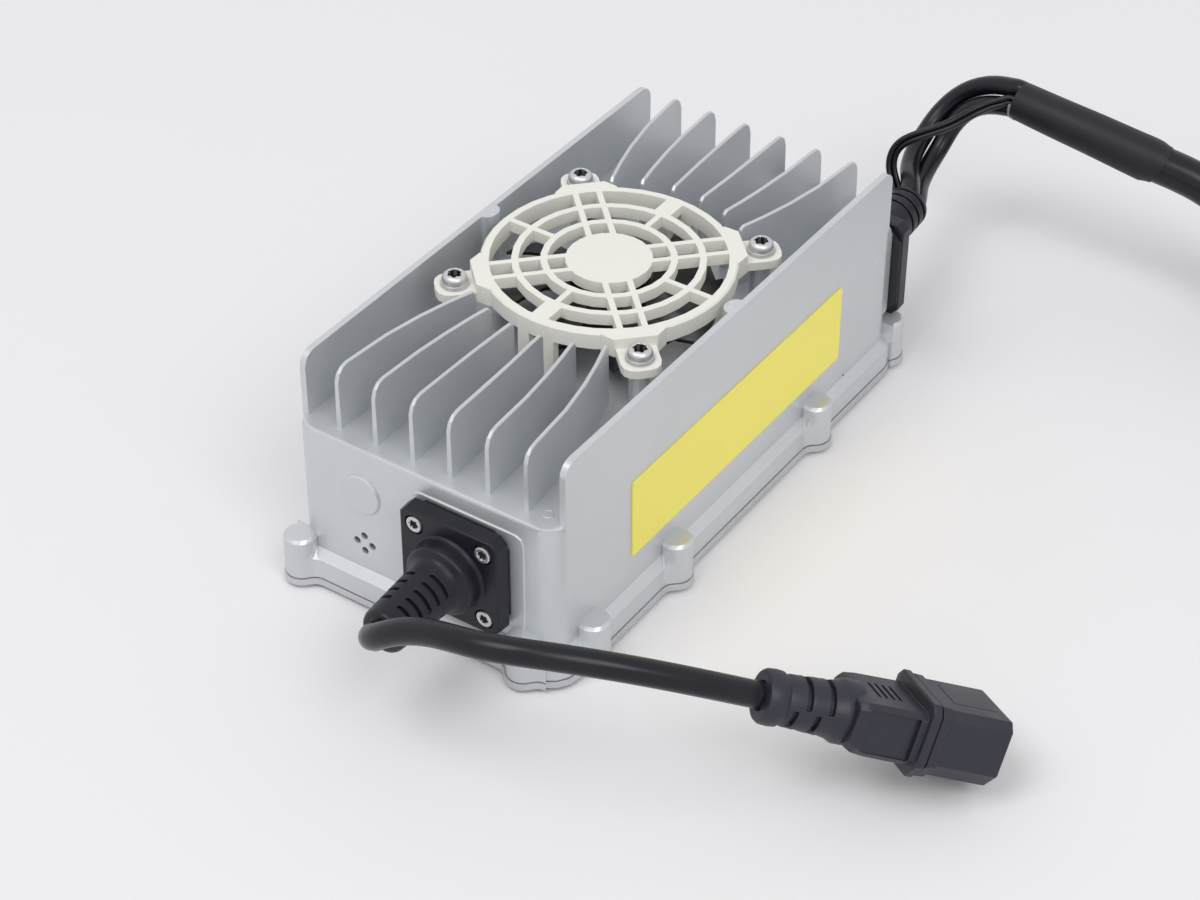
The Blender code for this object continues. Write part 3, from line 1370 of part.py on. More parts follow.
def make_signal_lead(black):
    """The thin lead leaves above the other two, loops left and joins them."""
    past = DC_LEAD_RADIUS + SIGNAL_LEAD_RADIUS + CLEAR
    aside = math.sqrt(past * past - (DC_LEAD_RADIUS + CLEAR / 2) ** 2) + 0.0001
    start = Vector((DC_GLAND_X, HALF_L + GLAND_BACK + BOOT_LENGTH + CLEAR, DC_GLAND_Z + aside))
    mouth = Vector(SLEEVE_MOUTH)
    along = (Vector(SLEEVE_ROUTE[0]) - mouth).normalized()
    lean = Vector(SLEEVE_LEAN)
    lean = (lean - along * lean.dot(along)).normalized()
    end = mouth - along * CLEAR + lean.cross(along) * aside
    route = straight_ends(SIGNAL_ROUTE, start, (0, 1, 0), end, -along)
    radius = SIGNAL_LEAD_RADIUS
    tube("signal_lead", with_straight_ends(route, radius * 3.4), radius, black, 2)


def coil_touch(degrees, before):
    """Where the cord's end meets the coil's side, which way, and at what angle.

    The cord lies in line with the outer turn at the given angle. Its end face
    meets the coil's side this far before that place, or this far after it.
    """
    turn = COIL_RADIUS + CORD_RADIUS * (COIL_TURNS_ACROSS - 1)
    side = COIL_RADIUS + CORD_RADIUS * COIL_TURNS_ACROSS
    reach = math.sqrt((side + CLEAR) ** 2 - (turn - CORD_RADIUS) ** 2)
    reach = -reach if before else reach
    angle = math.radians(degrees)
    out = Vector((math.cos(angle), math.sin(angle), 0.0))
    way = Vector((-out.y, out.x, 0.0))
    place = Vector((COIL_X, COIL_Y, 0.0)) + out * turn
    return place + way * reach, way, angle + math.atan2(reach, turn - CORD_RADIUS)


def make_sleeve_and_cord(black):
    """Shrink sleeve over the joint, then one round cord down to the coil."""
    mouth = Vector(SLEEVE_MOUTH)
    along = (Vector(SLEEVE_ROUTE[0]) - mouth).normalized()
    end, way, _angle = coil_touch(COIL_ENTRY_ANGLE, True)
    end.z = CORD_RADIUS + CLEAR
    points = [mouth, mouth + along * 0.0030] + [Vector(point) for point in SLEEVE_ROUTE + CORD_ROUTE]
    points += [end - way * 0.0020, end]
    whole = smooth_route(points[1:-1], CORD_RADIUS * 1.4)
    join = min(range(len(whole)), key=lambda i: (whole[i] - Vector(SLEEVE_ROUTE[-1])).length)
    sleeve = [mouth] + whole[:join + 1]
    radii = []
    for i in range(len(sleeve)):
        share = i / (len(sleeve) - 1)
        radii.append(SLEEVE_MOUTH_RADIUS + (SLEEVE_RADIUS - SLEEVE_MOUTH_RADIUS) * share)
    step = (sleeve[-1] - sleeve[-2]).normalized()
    sleeve.append(sleeve[-1] + step * SLEEVE_STEP)
    radii.append(CORD_RADIUS + 0.0003)
    tube("lead_sleeve", sleeve, SLEEVE_RADIUS, black, 3, radii)
    start = sleeve[-1] + step * CLEAR
    rest = [point for point in whole[join + 1:] if (point - start).dot(step) > CORD_RADIUS * 0.8]
    route = [start, start + step * 0.0020] + rest[::2] + [points[-2], end]
    cord = with_straight_ends(route, CORD_RADIUS * 2)
    tube("output_cord", cord, CORD_RADIUS, black, 3)


def make_coil(black):
    """The length put away: turns of the cord laid on the table as one ring."""
    bm = bmesh.new()
    half = CORD_RADIUS * COIL_TURNS_ACROSS
    tall = 4 * CORD_RADIUS
    soft = CORD_RADIUS * 0.8
    profile = []
    for x, z in rounded_box(half, tall / 2, soft, 2):
        profile.append((COIL_RADIUS + x, tall / 2 + z + CLEAR))
    turned(bm, profile, 24)
    coil = new_object("output_coil", bm, black)
    coil.location = (COIL_X, COIL_Y, 0.0)
    _place, _way, met = coil_touch(COIL_ENTRY_ANGLE, True)
    coil.rotation_euler = (0.0, 0.0, met)
    start, way, _angle = coil_touch(COIL_EXIT_ANGLE, False)
    level = CONNECTOR_SIZE[2] / 2 + CLEAR
    start.z = TAIL_START_Z
    end = start + way * TAIL_LENGTH
    end.z = level
    middle = start.lerp(end, 0.6)
    middle.z = level
    tube("output_tail", [start, middle, end], CORD_RADIUS, black, 3)
    return end + way * CLEAR, way


def make_connector(place, way, body_surface, metal):
    """A plain two-pole battery connector on the end of the output cord."""
    wide, long, tall = CONNECTOR_SIZE[1], CONNECTOR_SIZE[0], CONNECTOR_SIZE[2]
    turn = math.atan2(-way.x, way.y) + math.pi
    frame = empty("connector_frame", (place.x, place.y, CLEAR), (0.0, 0.0, turn))
    bm = bmesh.new()
    rings = []
    nose = 0.0100
    for along, inset in ((0.0, 0.0060), (-nose * 0.5, 0.0060), (-nose, 0.0), (-long, 0.0)):
        outline = rounded_box(wide / 2 - inset, (tall - inset * 0.5) / 2, 0.0025, 2)
        rings.append([Vector((x, along, z + tall / 2)) for x, z in outline])
    loft(bm, rings)
    body = new_object("connector_body", bm, body_surface, parent=frame)
    mouths = bmesh.new()
    wall = CONNECTOR_WALL
    for side in (-1, 1):
        near, far = sorted((side * wall / 2, side * (wide / 2 - wall)))
        block(
            mouths, (near, -long - wall, wall), (far, CONNECTOR_MOUTH_DEPTH - long, tall - wall),
        )
    boolean(body, "DIFFERENCE", "connector_mouths", mouths, parent=frame)
    for i, side in enumerate((-1, 1), 1):
        contact = bmesh.new()
        near, far = sorted((side * wall, side * (wide / 2 - wall * 1.5)))
        low = wall + CLEAR
        block(
            contact, (near, -long + 0.0040, low),
            (far, CONNECTOR_MOUTH_DEPTH - long - CLEAR, low + CONTACT_THICK),
        )
        new_object(f"connector_contact_{i}", contact, metal, parent=frame)


def main():
    clear_scene()
    cast = material("cast_aluminium", (0.50, 0.52, 0.55), 0.45, 0.85)
    pressed = material("cover_metal", (0.62, 0.63, 0.65), 0.40, 0.9)
    cream = material("guard_plastic", (0.83, 0.82, 0.75), 0.45)
    black = material("black_rubber", (0.030, 0.031, 0.036), 0.55)
    fan_black = material("fan_plastic", (0.012, 0.012, 0.014), 0.4)
    cord_black = material("cord_jacket", (0.026, 0.027, 0.032), 0.5)
    steel = material("screw_steel", (0.60, 0.60, 0.60), 0.25, 1.0)
    brass = material("contact_metal", (0.70, 0.68, 0.62), 0.3, 1.0)
    yellow = material("label_yellow", (0.93, 0.80, 0.16), 0.55)
    green = material("board", (0.03, 0.16, 0.08), 0.5)
    ferrite = material("core_grey", (0.05, 0.05, 0.055), 0.6)
    copper = material("copper_winding", (0.55, 0.24, 0.10), 0.35, 0.8)
    make_housing(cast)
    make_cover(pressed, steel, black)
    make_guard(cream)
    make_fan_screws(steel)
    axis = empty("fan_axis", (0.0, 0.0, ROTOR_BOTTOM_Z))
    make_rotor(fan_black, axis)
    make_stator(copper)
    make_gland("ac", -1, black, steel)
    make_gland("dc", 1, black, steel)
    make_label(yellow)
    make_inside(green, ferrite, copper, pressed)
    make_plug(black, brass)
    make_leads(cord_black)
    make_signal_lead(cord_black)
    make_sleeve_and_cord(cord_black)
    place, way = make_coil(cord_black)
    make_connector(place, way, black, brass)


main()
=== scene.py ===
"""Looks of the forklift battery charger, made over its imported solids.

Lengths are in metres, +Z is up and the charger's front, with the mains lead,
looks toward -Y. Each piece of the charger has its own operator, and the panel
in the 3D view's sidebar lists them.
"""
import math

import bmesh
import bpy
from mathutils import Matrix, Vector


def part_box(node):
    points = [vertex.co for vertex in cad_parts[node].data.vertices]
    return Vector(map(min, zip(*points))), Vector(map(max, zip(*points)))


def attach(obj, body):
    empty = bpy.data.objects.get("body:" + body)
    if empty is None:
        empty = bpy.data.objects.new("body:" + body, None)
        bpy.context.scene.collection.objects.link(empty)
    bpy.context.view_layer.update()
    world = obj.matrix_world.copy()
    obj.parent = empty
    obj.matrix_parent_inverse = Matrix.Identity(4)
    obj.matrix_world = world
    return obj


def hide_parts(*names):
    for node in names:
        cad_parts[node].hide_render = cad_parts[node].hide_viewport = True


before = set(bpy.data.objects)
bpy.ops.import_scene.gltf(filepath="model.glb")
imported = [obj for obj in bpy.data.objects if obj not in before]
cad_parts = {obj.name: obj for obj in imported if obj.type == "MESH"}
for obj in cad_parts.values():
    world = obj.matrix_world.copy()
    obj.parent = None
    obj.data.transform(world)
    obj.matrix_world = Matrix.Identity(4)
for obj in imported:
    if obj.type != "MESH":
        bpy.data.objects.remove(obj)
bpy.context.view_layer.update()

bl_info = {
    "name": "Forklift battery charger",
    "version": (1, 0, 0),
    "blender": (4, 5, 0),
    "location": "3D View > Sidebar > Charger",
    "description": "Builds the finished pieces of a battery charger over its packed solids",
    "category": "Object",
}

# Camera, at the photograph's angle
CAMERA_PLACE = (0.43248, -0.64379, 0.62179)
CAMERA_RIGHT = (0.827125, 0.562015, 0.002129)
CAMERA_UP = (-0.350922, 0.513489, 0.783060)
CAMERA_LENS = 87.26
CAMERA_SENSOR = 36.0

# Lamps: each one's setting, its place and the spot it looks at
LAMPS = (
    ("key", (-0.50, -1.50, 3.00), (0.02, 0.0, 0.04)),
    ("fill", (1.90, -1.10, 2.50), (0.02, 0.0, 0.05)),
)
LAMP_SIZE = 1.6
FLOOR_HALF = 4.0

# Sizes shared with the solids
CLEAR = 0.0003
HALF_L = 0.1026
HALF_W = 0.0502
DECK_Z = 0.0624
GLAND_FACE = HALF_L + 0.0017
GLAND_THICK = 0.0058
AC_GLAND = (0.0153, 0.0370)
DC_GLAND = (0.0335, 0.0395)
BOOT_LENGTH = 0.0392
BOOT_TIP = GLAND_FACE + BOOT_LENGTH + CLEAR
FAN_SEAT_Z = 0.0816
FAN_SCREW_SQUARE = 0.0715
GLAND_SCREW_SQUARE = 0.0258

# Mains lead and plug
AC_LEAD_DIAMETER = 0.0084
PLUG_NOSE = (0.1765, -0.0594, 0.0132)
PLUG_OUT = (0.683, 0.630, -0.370)
PLUG_ACROSS = (0.730, -0.613, 0.303)
PLUG_LENGTH = 0.0752
AC_ROUTE = (
    (0.0157, -0.1482, 0.0390), (0.0200, -0.1528, 0.0446), (0.0295, -0.1540, 0.0522),
    (0.0407, -0.1540, 0.0577), (0.0600, -0.1542, 0.0627), (0.0765, -0.1482, 0.0629),
    (0.0910, -0.1390, 0.0599), (0.1023, -0.1302, 0.0557), (0.1130, -0.1204, 0.0500),
)

# Output leads, the sleeve over their joint, and the cable down to the coil
DC_LEAD_DIAMETER = 0.0070
DC_ROUTE = (
    (0.0314, 0.1508, 0.0400), (0.0268, 0.1596, 0.0396), (0.0237, 0.1696, 0.0410),
    (0.0232, 0.1790, 0.0450), (0.0252, 0.1862, 0.0518), (0.0310, 0.1902, 0.0588),
    (0.0400, 0.1910, 0.0638),
)
DC_LEANS = (
    (0.35, 0.0, -0.94), (0.45, -0.1, -0.9), (0.60, -0.2, -0.75), (0.70, -0.2, -0.65),
    (0.72, -0.3, -0.6), (0.6, -0.55, -0.6), (0.4, -0.6, -0.7), (0.1, -0.6, -0.8),
)
SIGNAL_CORE_DIAMETER = 0.0021
SIGNAL_START = (-0.0049, -0.0024)
SIGNAL_ROUTE = (
    (0.0262, 0.1496, 0.0376), (0.0222, 0.1526, 0.0410), (0.0193, 0.1550, 0.0464),
    (0.0201, 0.1577, 0.0520), (0.0250, 0.1612, 0.0562), (0.0345, 0.1690, 0.0607),
    (0.0420, 0.1810, 0.0645),
)
SLEEVE_MOUTH = (0.0515, 0.1898, 0.0660)
SLEEVE_LEAN = (0.0, -0.5, -0.87)
SLEEVE_ROUTE = ((0.0682, 0.1890, 0.0645), (0.0839, 0.1900, 0.0620), (0.1033, 0.1915, 0.0585))
SLEEVE_RADII = (0.0072, 0.0082)
SLEEVE_STEP = 0.0050
MOUTH_DEPTH = 0.0030
CABLE_DIAMETER = 0.0140
CABLE_ROUTE = (
    (0.1217, 0.1951, 0.0535), (0.1385, 0.1963, 0.0452), (0.1542, 0.1928, 0.0342),
    (0.1682, 0.1860, 0.0235), (0.1808, 0.1781, 0.0150), (0.1928, 0.1704, 0.0093),
)
COIL_PLACE = (0.2900, 0.1990)
COIL_RADIUS = 0.0700
COIL_ENTRY_ANGLE = 237.0
COIL_EXIT_ANGLE = 109.0
COIL_STEPS = 58
# Where the turns step inward, climb and step outward: the angle past the entry, and its span
COIL_MOVES = ((300.0, 48.0), (638.0, 42.0), (985.0, 44.0))
# The way down to the connector: share of the run, and share of the drop
TAIL_DROPS = ((0.18, 0.0), (0.38, 0.12), (0.60, 0.52), (0.80, 0.90))
TAIL_LENGTH = 0.0300
LEAD_IN = 0.0020
TAIL_END_Z = 0.0098
CONNECTOR_WIDTH = 0.0360
RIBS = 6
RIB_START = -0.0080
RIB_STEP = 0.0028
RIB_HEIGHT = 0.0008
STRAP_ANGLES = (310.0, 62.0)
STRAP_THICK = 0.0009


def tint(name, description, *default):
    """A colour setting, in linear light."""
    return bpy.props.FloatVectorProperty(
        name=name, description=description, subtype="COLOR", size=3, min=0.0, max=1.0, default=default,
    )


def measure(name, description, default, low, high):
    """A length setting."""
    return bpy.props.FloatProperty(
        name=name, description=description, default=default, min=low, max=high, precision=5, unit="LENGTH",
    )


def lamp_power(name, description, default):
    return bpy.props.FloatProperty(
        name=name, description=description, default=default, min=0.0, max=400.0, unit="POWER",
    )


class ChargerColours(bpy.types.PropertyGroup):
    """Colours of the finishes."""

    cast: tint("Cast housing", "Silver paint on the casting", 0.620, 0.640, 0.662)
    cover: tint("Cover plate", "Bare plate under the casting", 0.610, 0.620, 0.640)
    guard: tint("Fan guard", "Cream moulded plastic", 0.800, 0.790, 0.748)
    moulded: tint("Moulded parts", "Black of the glands, boots and plug", 0.0084, 0.0084, 0.0160)
    jacket: tint("Lead jackets", "Black of the leads and the output cable", 0.0040, 0.0044, 0.0090)
    sleeve: tint("Shrink sleeve", "Dull black of the sleeve over the joint", 0.0100, 0.0102, 0.0140)
    label: tint("Label", "Yellow of the bare label", 0.990, 0.875, 0.150)


class ChargerSizes(bpy.types.PropertyGroup):
    """Roundings and small sizes that the solids leave out."""

    cast_edge: measure("Cast edge", "Width of the rounding on the casting's edges", 0.00042, 0.0001, 0.001)
    guard_edge: measure("Guard edge", "Width of the rounding on the guard's edges", 0.00040, 0.0001, 0.001)
    moulded_edge: measure("Moulded edge", "Width of the rounding on the connector", 0.00040, 0.0001, 0.001)
    slot_depth: measure("Slot depth", "Depth of the slots that let a boot bend", 0.0014, 0.0004, 0.0025)
    tie_width: measure("Tie width", "Width of the straps that hold the coil", 0.0080, 0.003, 0.02)


class ChargerStage(bpy.types.PropertyGroup):
    """Floor, sky and lamps."""

    floor: tint("Floor", "Pale floor and backdrop", 0.868, 0.850, 0.868)
    sky: bpy.props.FloatProperty(
        name="Sky", description="Strength of the even light from all round", default=0.63, min=0.0, max=2.0,
    )
    key: lamp_power("Key lamp", "Power of the large lamp above the front", 28.0)
    fill: lamp_power("Fill lamp", "Power of the lamp on the camera's side", 26.0)


def colours():
    return bpy.context.scene.charger_colours


def sizes():
    return bpy.context.scene.charger_sizes


# Shader groups and finishes

def shader_group(name, inputs, outputs):
    """An empty group with number sockets, and its input and output nodes."""
    tree = bpy.data.node_groups.new(name, "ShaderNodeTree")
    for label, default in inputs:
        socket = tree.interface.new_socket(name=label, in_out="INPUT", socket_type="NodeSocketFloat")
        socket.default_value = default
    for label in outputs:
        tree.interface.new_socket(name=label, in_out="OUTPUT", socket_type="NodeSocketFloat")
    return tree, tree.nodes.new("NodeGroupInput"), tree.nodes.new("NodeGroupOutput")


def feed(tree, socket, term):
    """Link an input to another node's output, or set its value."""
    if isinstance(term, bpy.types.NodeSocket):
        tree.links.new(term, socket)
    else:
        socket.default_value = term


def fed(tree, node, inputs):
    """A node, given by itself or by its kind, with the named inputs fed."""
    if isinstance(node, str):
        node = tree.nodes.new("ShaderNode" + node)
    for name, term in inputs.items():
        feed(tree, node.inputs[name], term)
    return node


def calculated(tree, operation, first, second, clamp=False):
    """A Math node; each term is a socket or a number."""
    node = fed(tree, "Math", {})
    node.operation = operation
    node.use_clamp = clamp
    for socket, term in zip(node.inputs, (first, second)):
        feed(tree, socket, term)
    return node.outputs[0]


def stretched(tree, source, low, high):
    """Spread the part of a value between low and high over zero to one."""
    node = fed(tree, "MapRange", {"Value": source, "From Min": low, "From Max": high})
    node.interpolation_type = "SMOOTHSTEP"
    return node.outputs["Result"]


def noise_on(tree, where, scale, detail=2.0, rough=0.5):
    inputs = {"Vector": where, "Scale": scale, "Detail": detail, "Roughness": rough}
    return fed(tree, "TexNoise", inputs).outputs["Fac"]


def object_place(tree):
    return fed(tree, "TexCoord", {}).outputs["Object"]


def surface_grain():
    """Fine relief of a paint or a moulding, with broad soft patches."""
    tree, given, result = shader_group(
        "surface_grain", (("Scale", 1800.0), ("Patch Scale", 45.0)), ("Height", "Patches"),
    )
    where = object_place(tree)
    fine = noise_on(tree, where, given.outputs["Scale"], 3.0, 0.6)
    broad = noise_on(tree, where, calculated(tree, "MULTIPLY", given.outputs["Scale"], 0.22), 1.0)
    fine, broad = (calculated(tree, "MULTIPLY", fine, 0.6), calculated(tree, "MULTIPLY", broad, 0.4))
    patches = noise_on(tree, where, given.outputs["Patch Scale"], 4.0, 0.6)
    fed(tree, result, {
        "Height": calculated(tree, "ADD", fine, broad), "Patches": stretched(tree, patches, 0.3, 0.7),
    })
    return tree


def fine_dust():
    """Specks and a thin veil of dust on what faces up."""
    tree, given, result = shader_group("fine_dust", (("Speck Scale", 700.0), ("Veil", 0.3)), ("Mask",))
    where = object_place(tree)
    specks = fed(tree, "TexVoronoi", {"Vector": where, "Scale": given.outputs["Speck Scale"]})
    near = stretched(tree, specks.outputs["Distance"], 0.16, 0.10)
    thin = stretched(tree, noise_on(tree, where, 160.0), 0.52, 0.66)
    split = fed(tree, "SeparateXYZ", {"Vector": fed(tree, "NewGeometry", {}).outputs["Normal"]})
    up = stretched(tree, split.outputs["Z"], -0.1, 0.9)
    veil = calculated(tree, "MULTIPLY", noise_on(tree, where, 60.0, 4.0, 0.7), given.outputs["Veil"])
    both = calculated(tree, "ADD", calculated(tree, "MULTIPLY", near, thin), veil, clamp=True)
    fed(tree, result, {"Mask": calculated(tree, "MULTIPLY", both, up, clamp=True)})
    return tree


def scuffs():
    """Short faint scratches that run two ways."""
    tree, given, result = shader_group("scuffs", (("Scale", 120.0),), ("Mask",))
    where = object_place(tree)
    ways = []
    for turn, stretch in (((0.4, 0.2, 0.9), (1.0, 14.0, 1.0)), ((0.9, 0.5, 0.1), (12.0, 1.0, 1.0))):
        mapping = fed(tree, "Mapping", {"Vector": where, "Rotation": turn, "Scale": stretch})
        lines = noise_on(tree, mapping.outputs["Vector"], given.outputs["Scale"])
        ways.append(stretched(tree, lines, 0.66, 0.74))
    marks = calculated(tree, "MAXIMUM", *ways)
    rare = stretched(tree, noise_on(tree, where, 35.0, 1.0), 0.5, 0.62)
    fed(tree, result, {"Mask": calculated(tree, "MULTIPLY", marks, rare)})
    return tree


def placed_group(tree, maker, **values):
    """Put the shared group in a material, making the group on first use."""
    node = fed(tree, "Group", {})
    node.node_tree = bpy.data.node_groups.get(maker.__name__) or maker()
    return fed(tree, node, {name.replace("_", " ").title(): value for name, value in values.items()})


def blended(tree, factor, base, over):
    """Mix two colours; each is a socket or a linear colour."""
    node = fed(tree, "Mix", {"Factor": factor})
    node.data_type = "RGBA"
    for name, colour in (("A", base), ("B", over)):
        socket = [item for item in node.inputs if item.name == name and item.type == "RGBA"][0]
        feed(tree, socket, colour if isinstance(colour, bpy.types.NodeSocket) else (*colour, 1.0))
    return [item for item in node.outputs if item.type == "RGBA"][0]


def shaded(colour, share):
    return tuple(min(1.0, channel * share) for channel in colour)


def new_material(name):
    made = bpy.data.materials.new(name)
    made.use_nodes = True
    return made, made.node_tree


def finish(
    name, colour, roughness, metallic=0.0, specular=0.5, grain=1800.0, depth=0.00002, patches=45.0,
    mottle=0.05, dust=0.0, dust_colour=(0.45, 0.44, 0.42), wear=0.0,
):
    """A surface with grain, soft patches of tone and gloss, dust and scuffs."""
    made, tree = new_material(name)
    relief = placed_group(tree, surface_grain, scale=grain, patch_scale=patches)
    patch = relief.outputs["Patches"]
    tone = blended(tree, patch, shaded(colour, 1.0 - mottle), shaded(colour, 1.0 + mottle))
    gloss = {"Value": patch, "To Min": roughness - ROUGH_SWING, "To Max": roughness + ROUGH_SWING}
    rough = fed(tree, "MapRange", gloss).outputs["Result"]
    for amount, maker, over, dulling in (
        (wear, scuffs, shaded(colour, 1.8), 0.15), (dust, fine_dust, dust_colour, 0.3),
    ):
        if amount:
            share = calculated(tree, "MULTIPLY", placed_group(tree, maker).outputs["Mask"], amount)
            tone = blended(tree, share, tone, over)
            rough = calculated(tree, "ADD", rough, calculated(tree, "MULTIPLY", share, dulling), clamp=True)
    bump = fed(tree, "Bump", {"Distance": depth, "Height": relief.outputs["Height"]})
    fed(tree, tree.nodes["Principled BSDF"], {
        "Metallic": metallic, "Specular IOR Level": specular, "Base Color": tone, "Roughness": rough,
        "Normal": bump.outputs["Normal"],
    })
    return made


def surface(name):
    """The named finish, made on first use."""
    made = bpy.data.materials.get(name)
    if not made:
        _slot, colour, roughness, rest = FINISHES[name]
        if isinstance(colour, str):
            colour = getattr(colours(), colour)
        made = finish(name, shaded(colour, TONES.get(name, 1.0)), roughness, **rest)
    return made


ROUGH_SWING = 0.05
TONES = {"plug_black": 1.7}

# Each finish: its slot, its colour or the colour setting's name, its roughness and the rest
FINISHES = {
    "cast_paint": ("cast_aluminium", "cast", 0.36, dict(
        metallic=0.50, grain=2600.0, depth=0.000016, patches=30.0, mottle=0.025, dust=0.04, wear=0.12)),
    "plate_metal": ("cover_metal", "cover", 0.36, dict(
        metallic=0.75, grain=1500.0, depth=0.00001, mottle=0.04, wear=0.25)),
    "guard_plastic": ("guard_plastic", "guard", 0.44, dict(
        grain=2200.0, depth=0.000014, mottle=0.015, dust=0.04, dust_colour=(0.50, 0.47, 0.40))),
    "moulded_black": ("black_rubber", "moulded", 0.38, dict(
        specular=0.34, grain=3000.0, depth=0.00003, mottle=0.12, dust=0.02, wear=0.06)),
    "plug_black": ("plug_plastic", "moulded", 0.44, dict(
        grain=3600.0, depth=0.00003, mottle=0.10, dust=0.02)),
    "jacket_black": ("cord_jacket", "jacket", 0.27, dict(
        specular=0.36, grain=2000.0, mottle=0.14, dust=0.015, wear=0.10)),
    "sleeve_black": ("cord_jacket", "sleeve", 0.48, dict(
        specular=0.34, grain=1400.0, depth=0.00004, mottle=0.12, dust=0.02)),
    "sleeve_cut_edge": ("cord_jacket", (0.26, 0.26, 0.27), 0.5, dict(grain=2400.0, depth=0.00003, mottle=0.15)),
    "label_film": ("label_yellow", "label", 0.42, dict(
        grain=1600.0, depth=0.000008, patches=70.0, mottle=0.012, dust=0.03, dust_colour=(0.62, 0.55, 0.25))),
    "fan_black": ("fan_plastic", (0.014, 0.014, 0.016), 0.32, dict(grain=1500.0, mottle=0.15, dust=0.12)),
    "screw_steel": ("screw_steel", (0.63, 0.63, 0.62), 0.24, dict(
        metallic=1.0, grain=2600.0, depth=0.000012, wear=0.3)),
    "bright_nickel": ("contact_metal", (0.70, 0.68, 0.62), 0.22, dict(
        metallic=1.0, grain=2000.0, depth=0.000008)),
    "seal_rubber": ("black_rubber", (0.02, 0.02, 0.021), 0.65, dict(grain=1500.0, depth=0.00004, mottle=0.15)),
    "ink_speck": ("cast_aluminium", (0.05, 0.05, 0.055), 0.6, dict(grain=2500.0, mottle=0.2)),
    "recess_shadow": (None, (0.016, 0.016, 0.017), 0.55, dict(
        specular=0.3, grain=2600.0, depth=0.000008, mottle=0.1)),
    "winding_copper": (None, (0.55, 0.24, 0.10), 0.32, dict(metallic=0.8, grain=900.0, depth=0.0001, mottle=0.2)),
    "board_green": (None, (0.03, 0.16, 0.08), 0.4, dict(grain=500.0, depth=0.00003, mottle=0.2)),
    "core_grey": (None, (0.05, 0.05, 0.055), 0.6, dict(grain=1200.0, depth=0.00005, mottle=0.15)),
    "can_aluminium": (None, (0.62, 0.63, 0.65), 0.30, dict(metallic=0.9, grain=1500.0, depth=0.00001)),
    "light_pipe": (None, (0.045, 0.05, 0.055), 0.25, dict(grain=900.0, mottle=0.1)),
}

INNER_FINISHES = {
    "board_green": ("circuit_board",),
    "core_grey": ("transformer_core", "power_device_1", "power_device_2", "power_device_3"),
    "can_aluminium": ("capacitor_1", "capacitor_2", "heat_bar"),
    "winding_copper": ("choke", "fan_stator"),
    "light_pipe": ("status_light",),
    "seal_rubber": ("ac_seal", "dc_seal", "cover_gasket"),
}


# Mesh helpers

def put(name, data):
    """A new object in the scene, at the origin."""
    made = bpy.data.objects.new(name, data)
    bpy.context.scene.collection.objects.link(made)
    return made


def finished(name, bm, finish_name, stands_for=(), body="base", smooth=35.0, weighted=False, second=None):
    """Turn a bmesh into a piece that rides on a body, smooth but for its sharp edges."""
    mesh = bpy.data.meshes.new(name)
    bm.to_mesh(mesh)
    bm.free()
    mesh.materials.append(surface(finish_name))
    if second:
        mesh.materials.append(surface(second))
    mesh.shade_smooth()
    mesh.set_sharp_from_angle(angle=math.radians(smooth))
    made = put(name, mesh)
    if weighted:
        made.modifiers.new("even_normals", "WEIGHTED_NORMAL").keep_sharp = True
    return adopted(made, stands_for, body)


def adopted(made, stands_for=(), body="base"):
    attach(made, body)
    if stands_for:
        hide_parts(*stands_for)
    return made


def merged_copy(node):
    """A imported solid's triangles, merged back into its flat faces."""
    bm = bmesh.new()
    bm.from_mesh(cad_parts[node].data)
    bmesh.ops.remove_doubles(bm, verts=bm.verts, dist=2e-6)
    bmesh.ops.dissolve_limit(
        bm, angle_limit=math.radians(1.0), verts=bm.verts, edges=bm.edges, use_dissolve_boundaries=False,
    )
    return bm


def softened(bm, width, segments=2, sharper_than=24.0):
    """Round every edge that is sharper than the angle."""
    limit = math.radians(sharper_than)
    edges = [edge for edge in bm.edges if len(edge.link_faces) == 2 and edge.calc_face_angle(0.0) > limit]
    bmesh.ops.bevel(
        bm, geom=edges, offset=width, offset_type="OFFSET", segments=segments, profile=0.5,
        affect="EDGES", clamp_overlap=True, material=-1,
    )
    return bm


def refined(name, node, finish_name, width, segments=2, sharper_than=24.0, **rest):
    """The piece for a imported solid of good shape: its own form with rounded edges."""
    bm = softened(merged_copy(node), width, segments, sharper_than)
    return finished(name, bm, finish_name, [node], **rest)


def drawn_through(bm, rings):
    """Draw one face up through rings of matching points, and close the end."""
    rim = [bm.verts.new(point) for point in rings[0]]
    edges = list(bm.faces.new(rim).edges)
    for ring in rings[1:]:
        place = {vert: point for vert, point in zip(rim, ring)}
        grown = bmesh.ops.extrude_edge_only(bm, edges=edges)["geom"]
        edges = [item for item in grown if isinstance(item, bmesh.types.BMEdge)]
        edges = [edge for edge in edges if not any(vert in place for vert in edge.verts)]
        matched = {}
        for vert in (item for item in grown if isinstance(item, bmesh.types.BMVert)):
            for edge in vert.link_edges:
                other = edge.other_vert(vert)
                if other in place:
                    matched[other] = vert
        for vert, upper in matched.items():
            upper.co = place[vert]
        rim = [matched[vert] for vert in rim]
    bmesh.ops.contextual_create(bm, geom=edges)
    bmesh.ops.recalc_face_normals(bm, faces=bm.faces)


def lobed_ring(radius, height, steps, lobes=0.0, count=6):
    """A ring about Z whose radius swings by the lobing."""
    points = []
    for step in range(steps):
        angle = math.tau * step / steps
        reach = radius * (1.0 + lobes * math.cos(count * angle))
        points.append(Vector((reach * math.cos(angle), reach * math.sin(angle), height)))
    return points


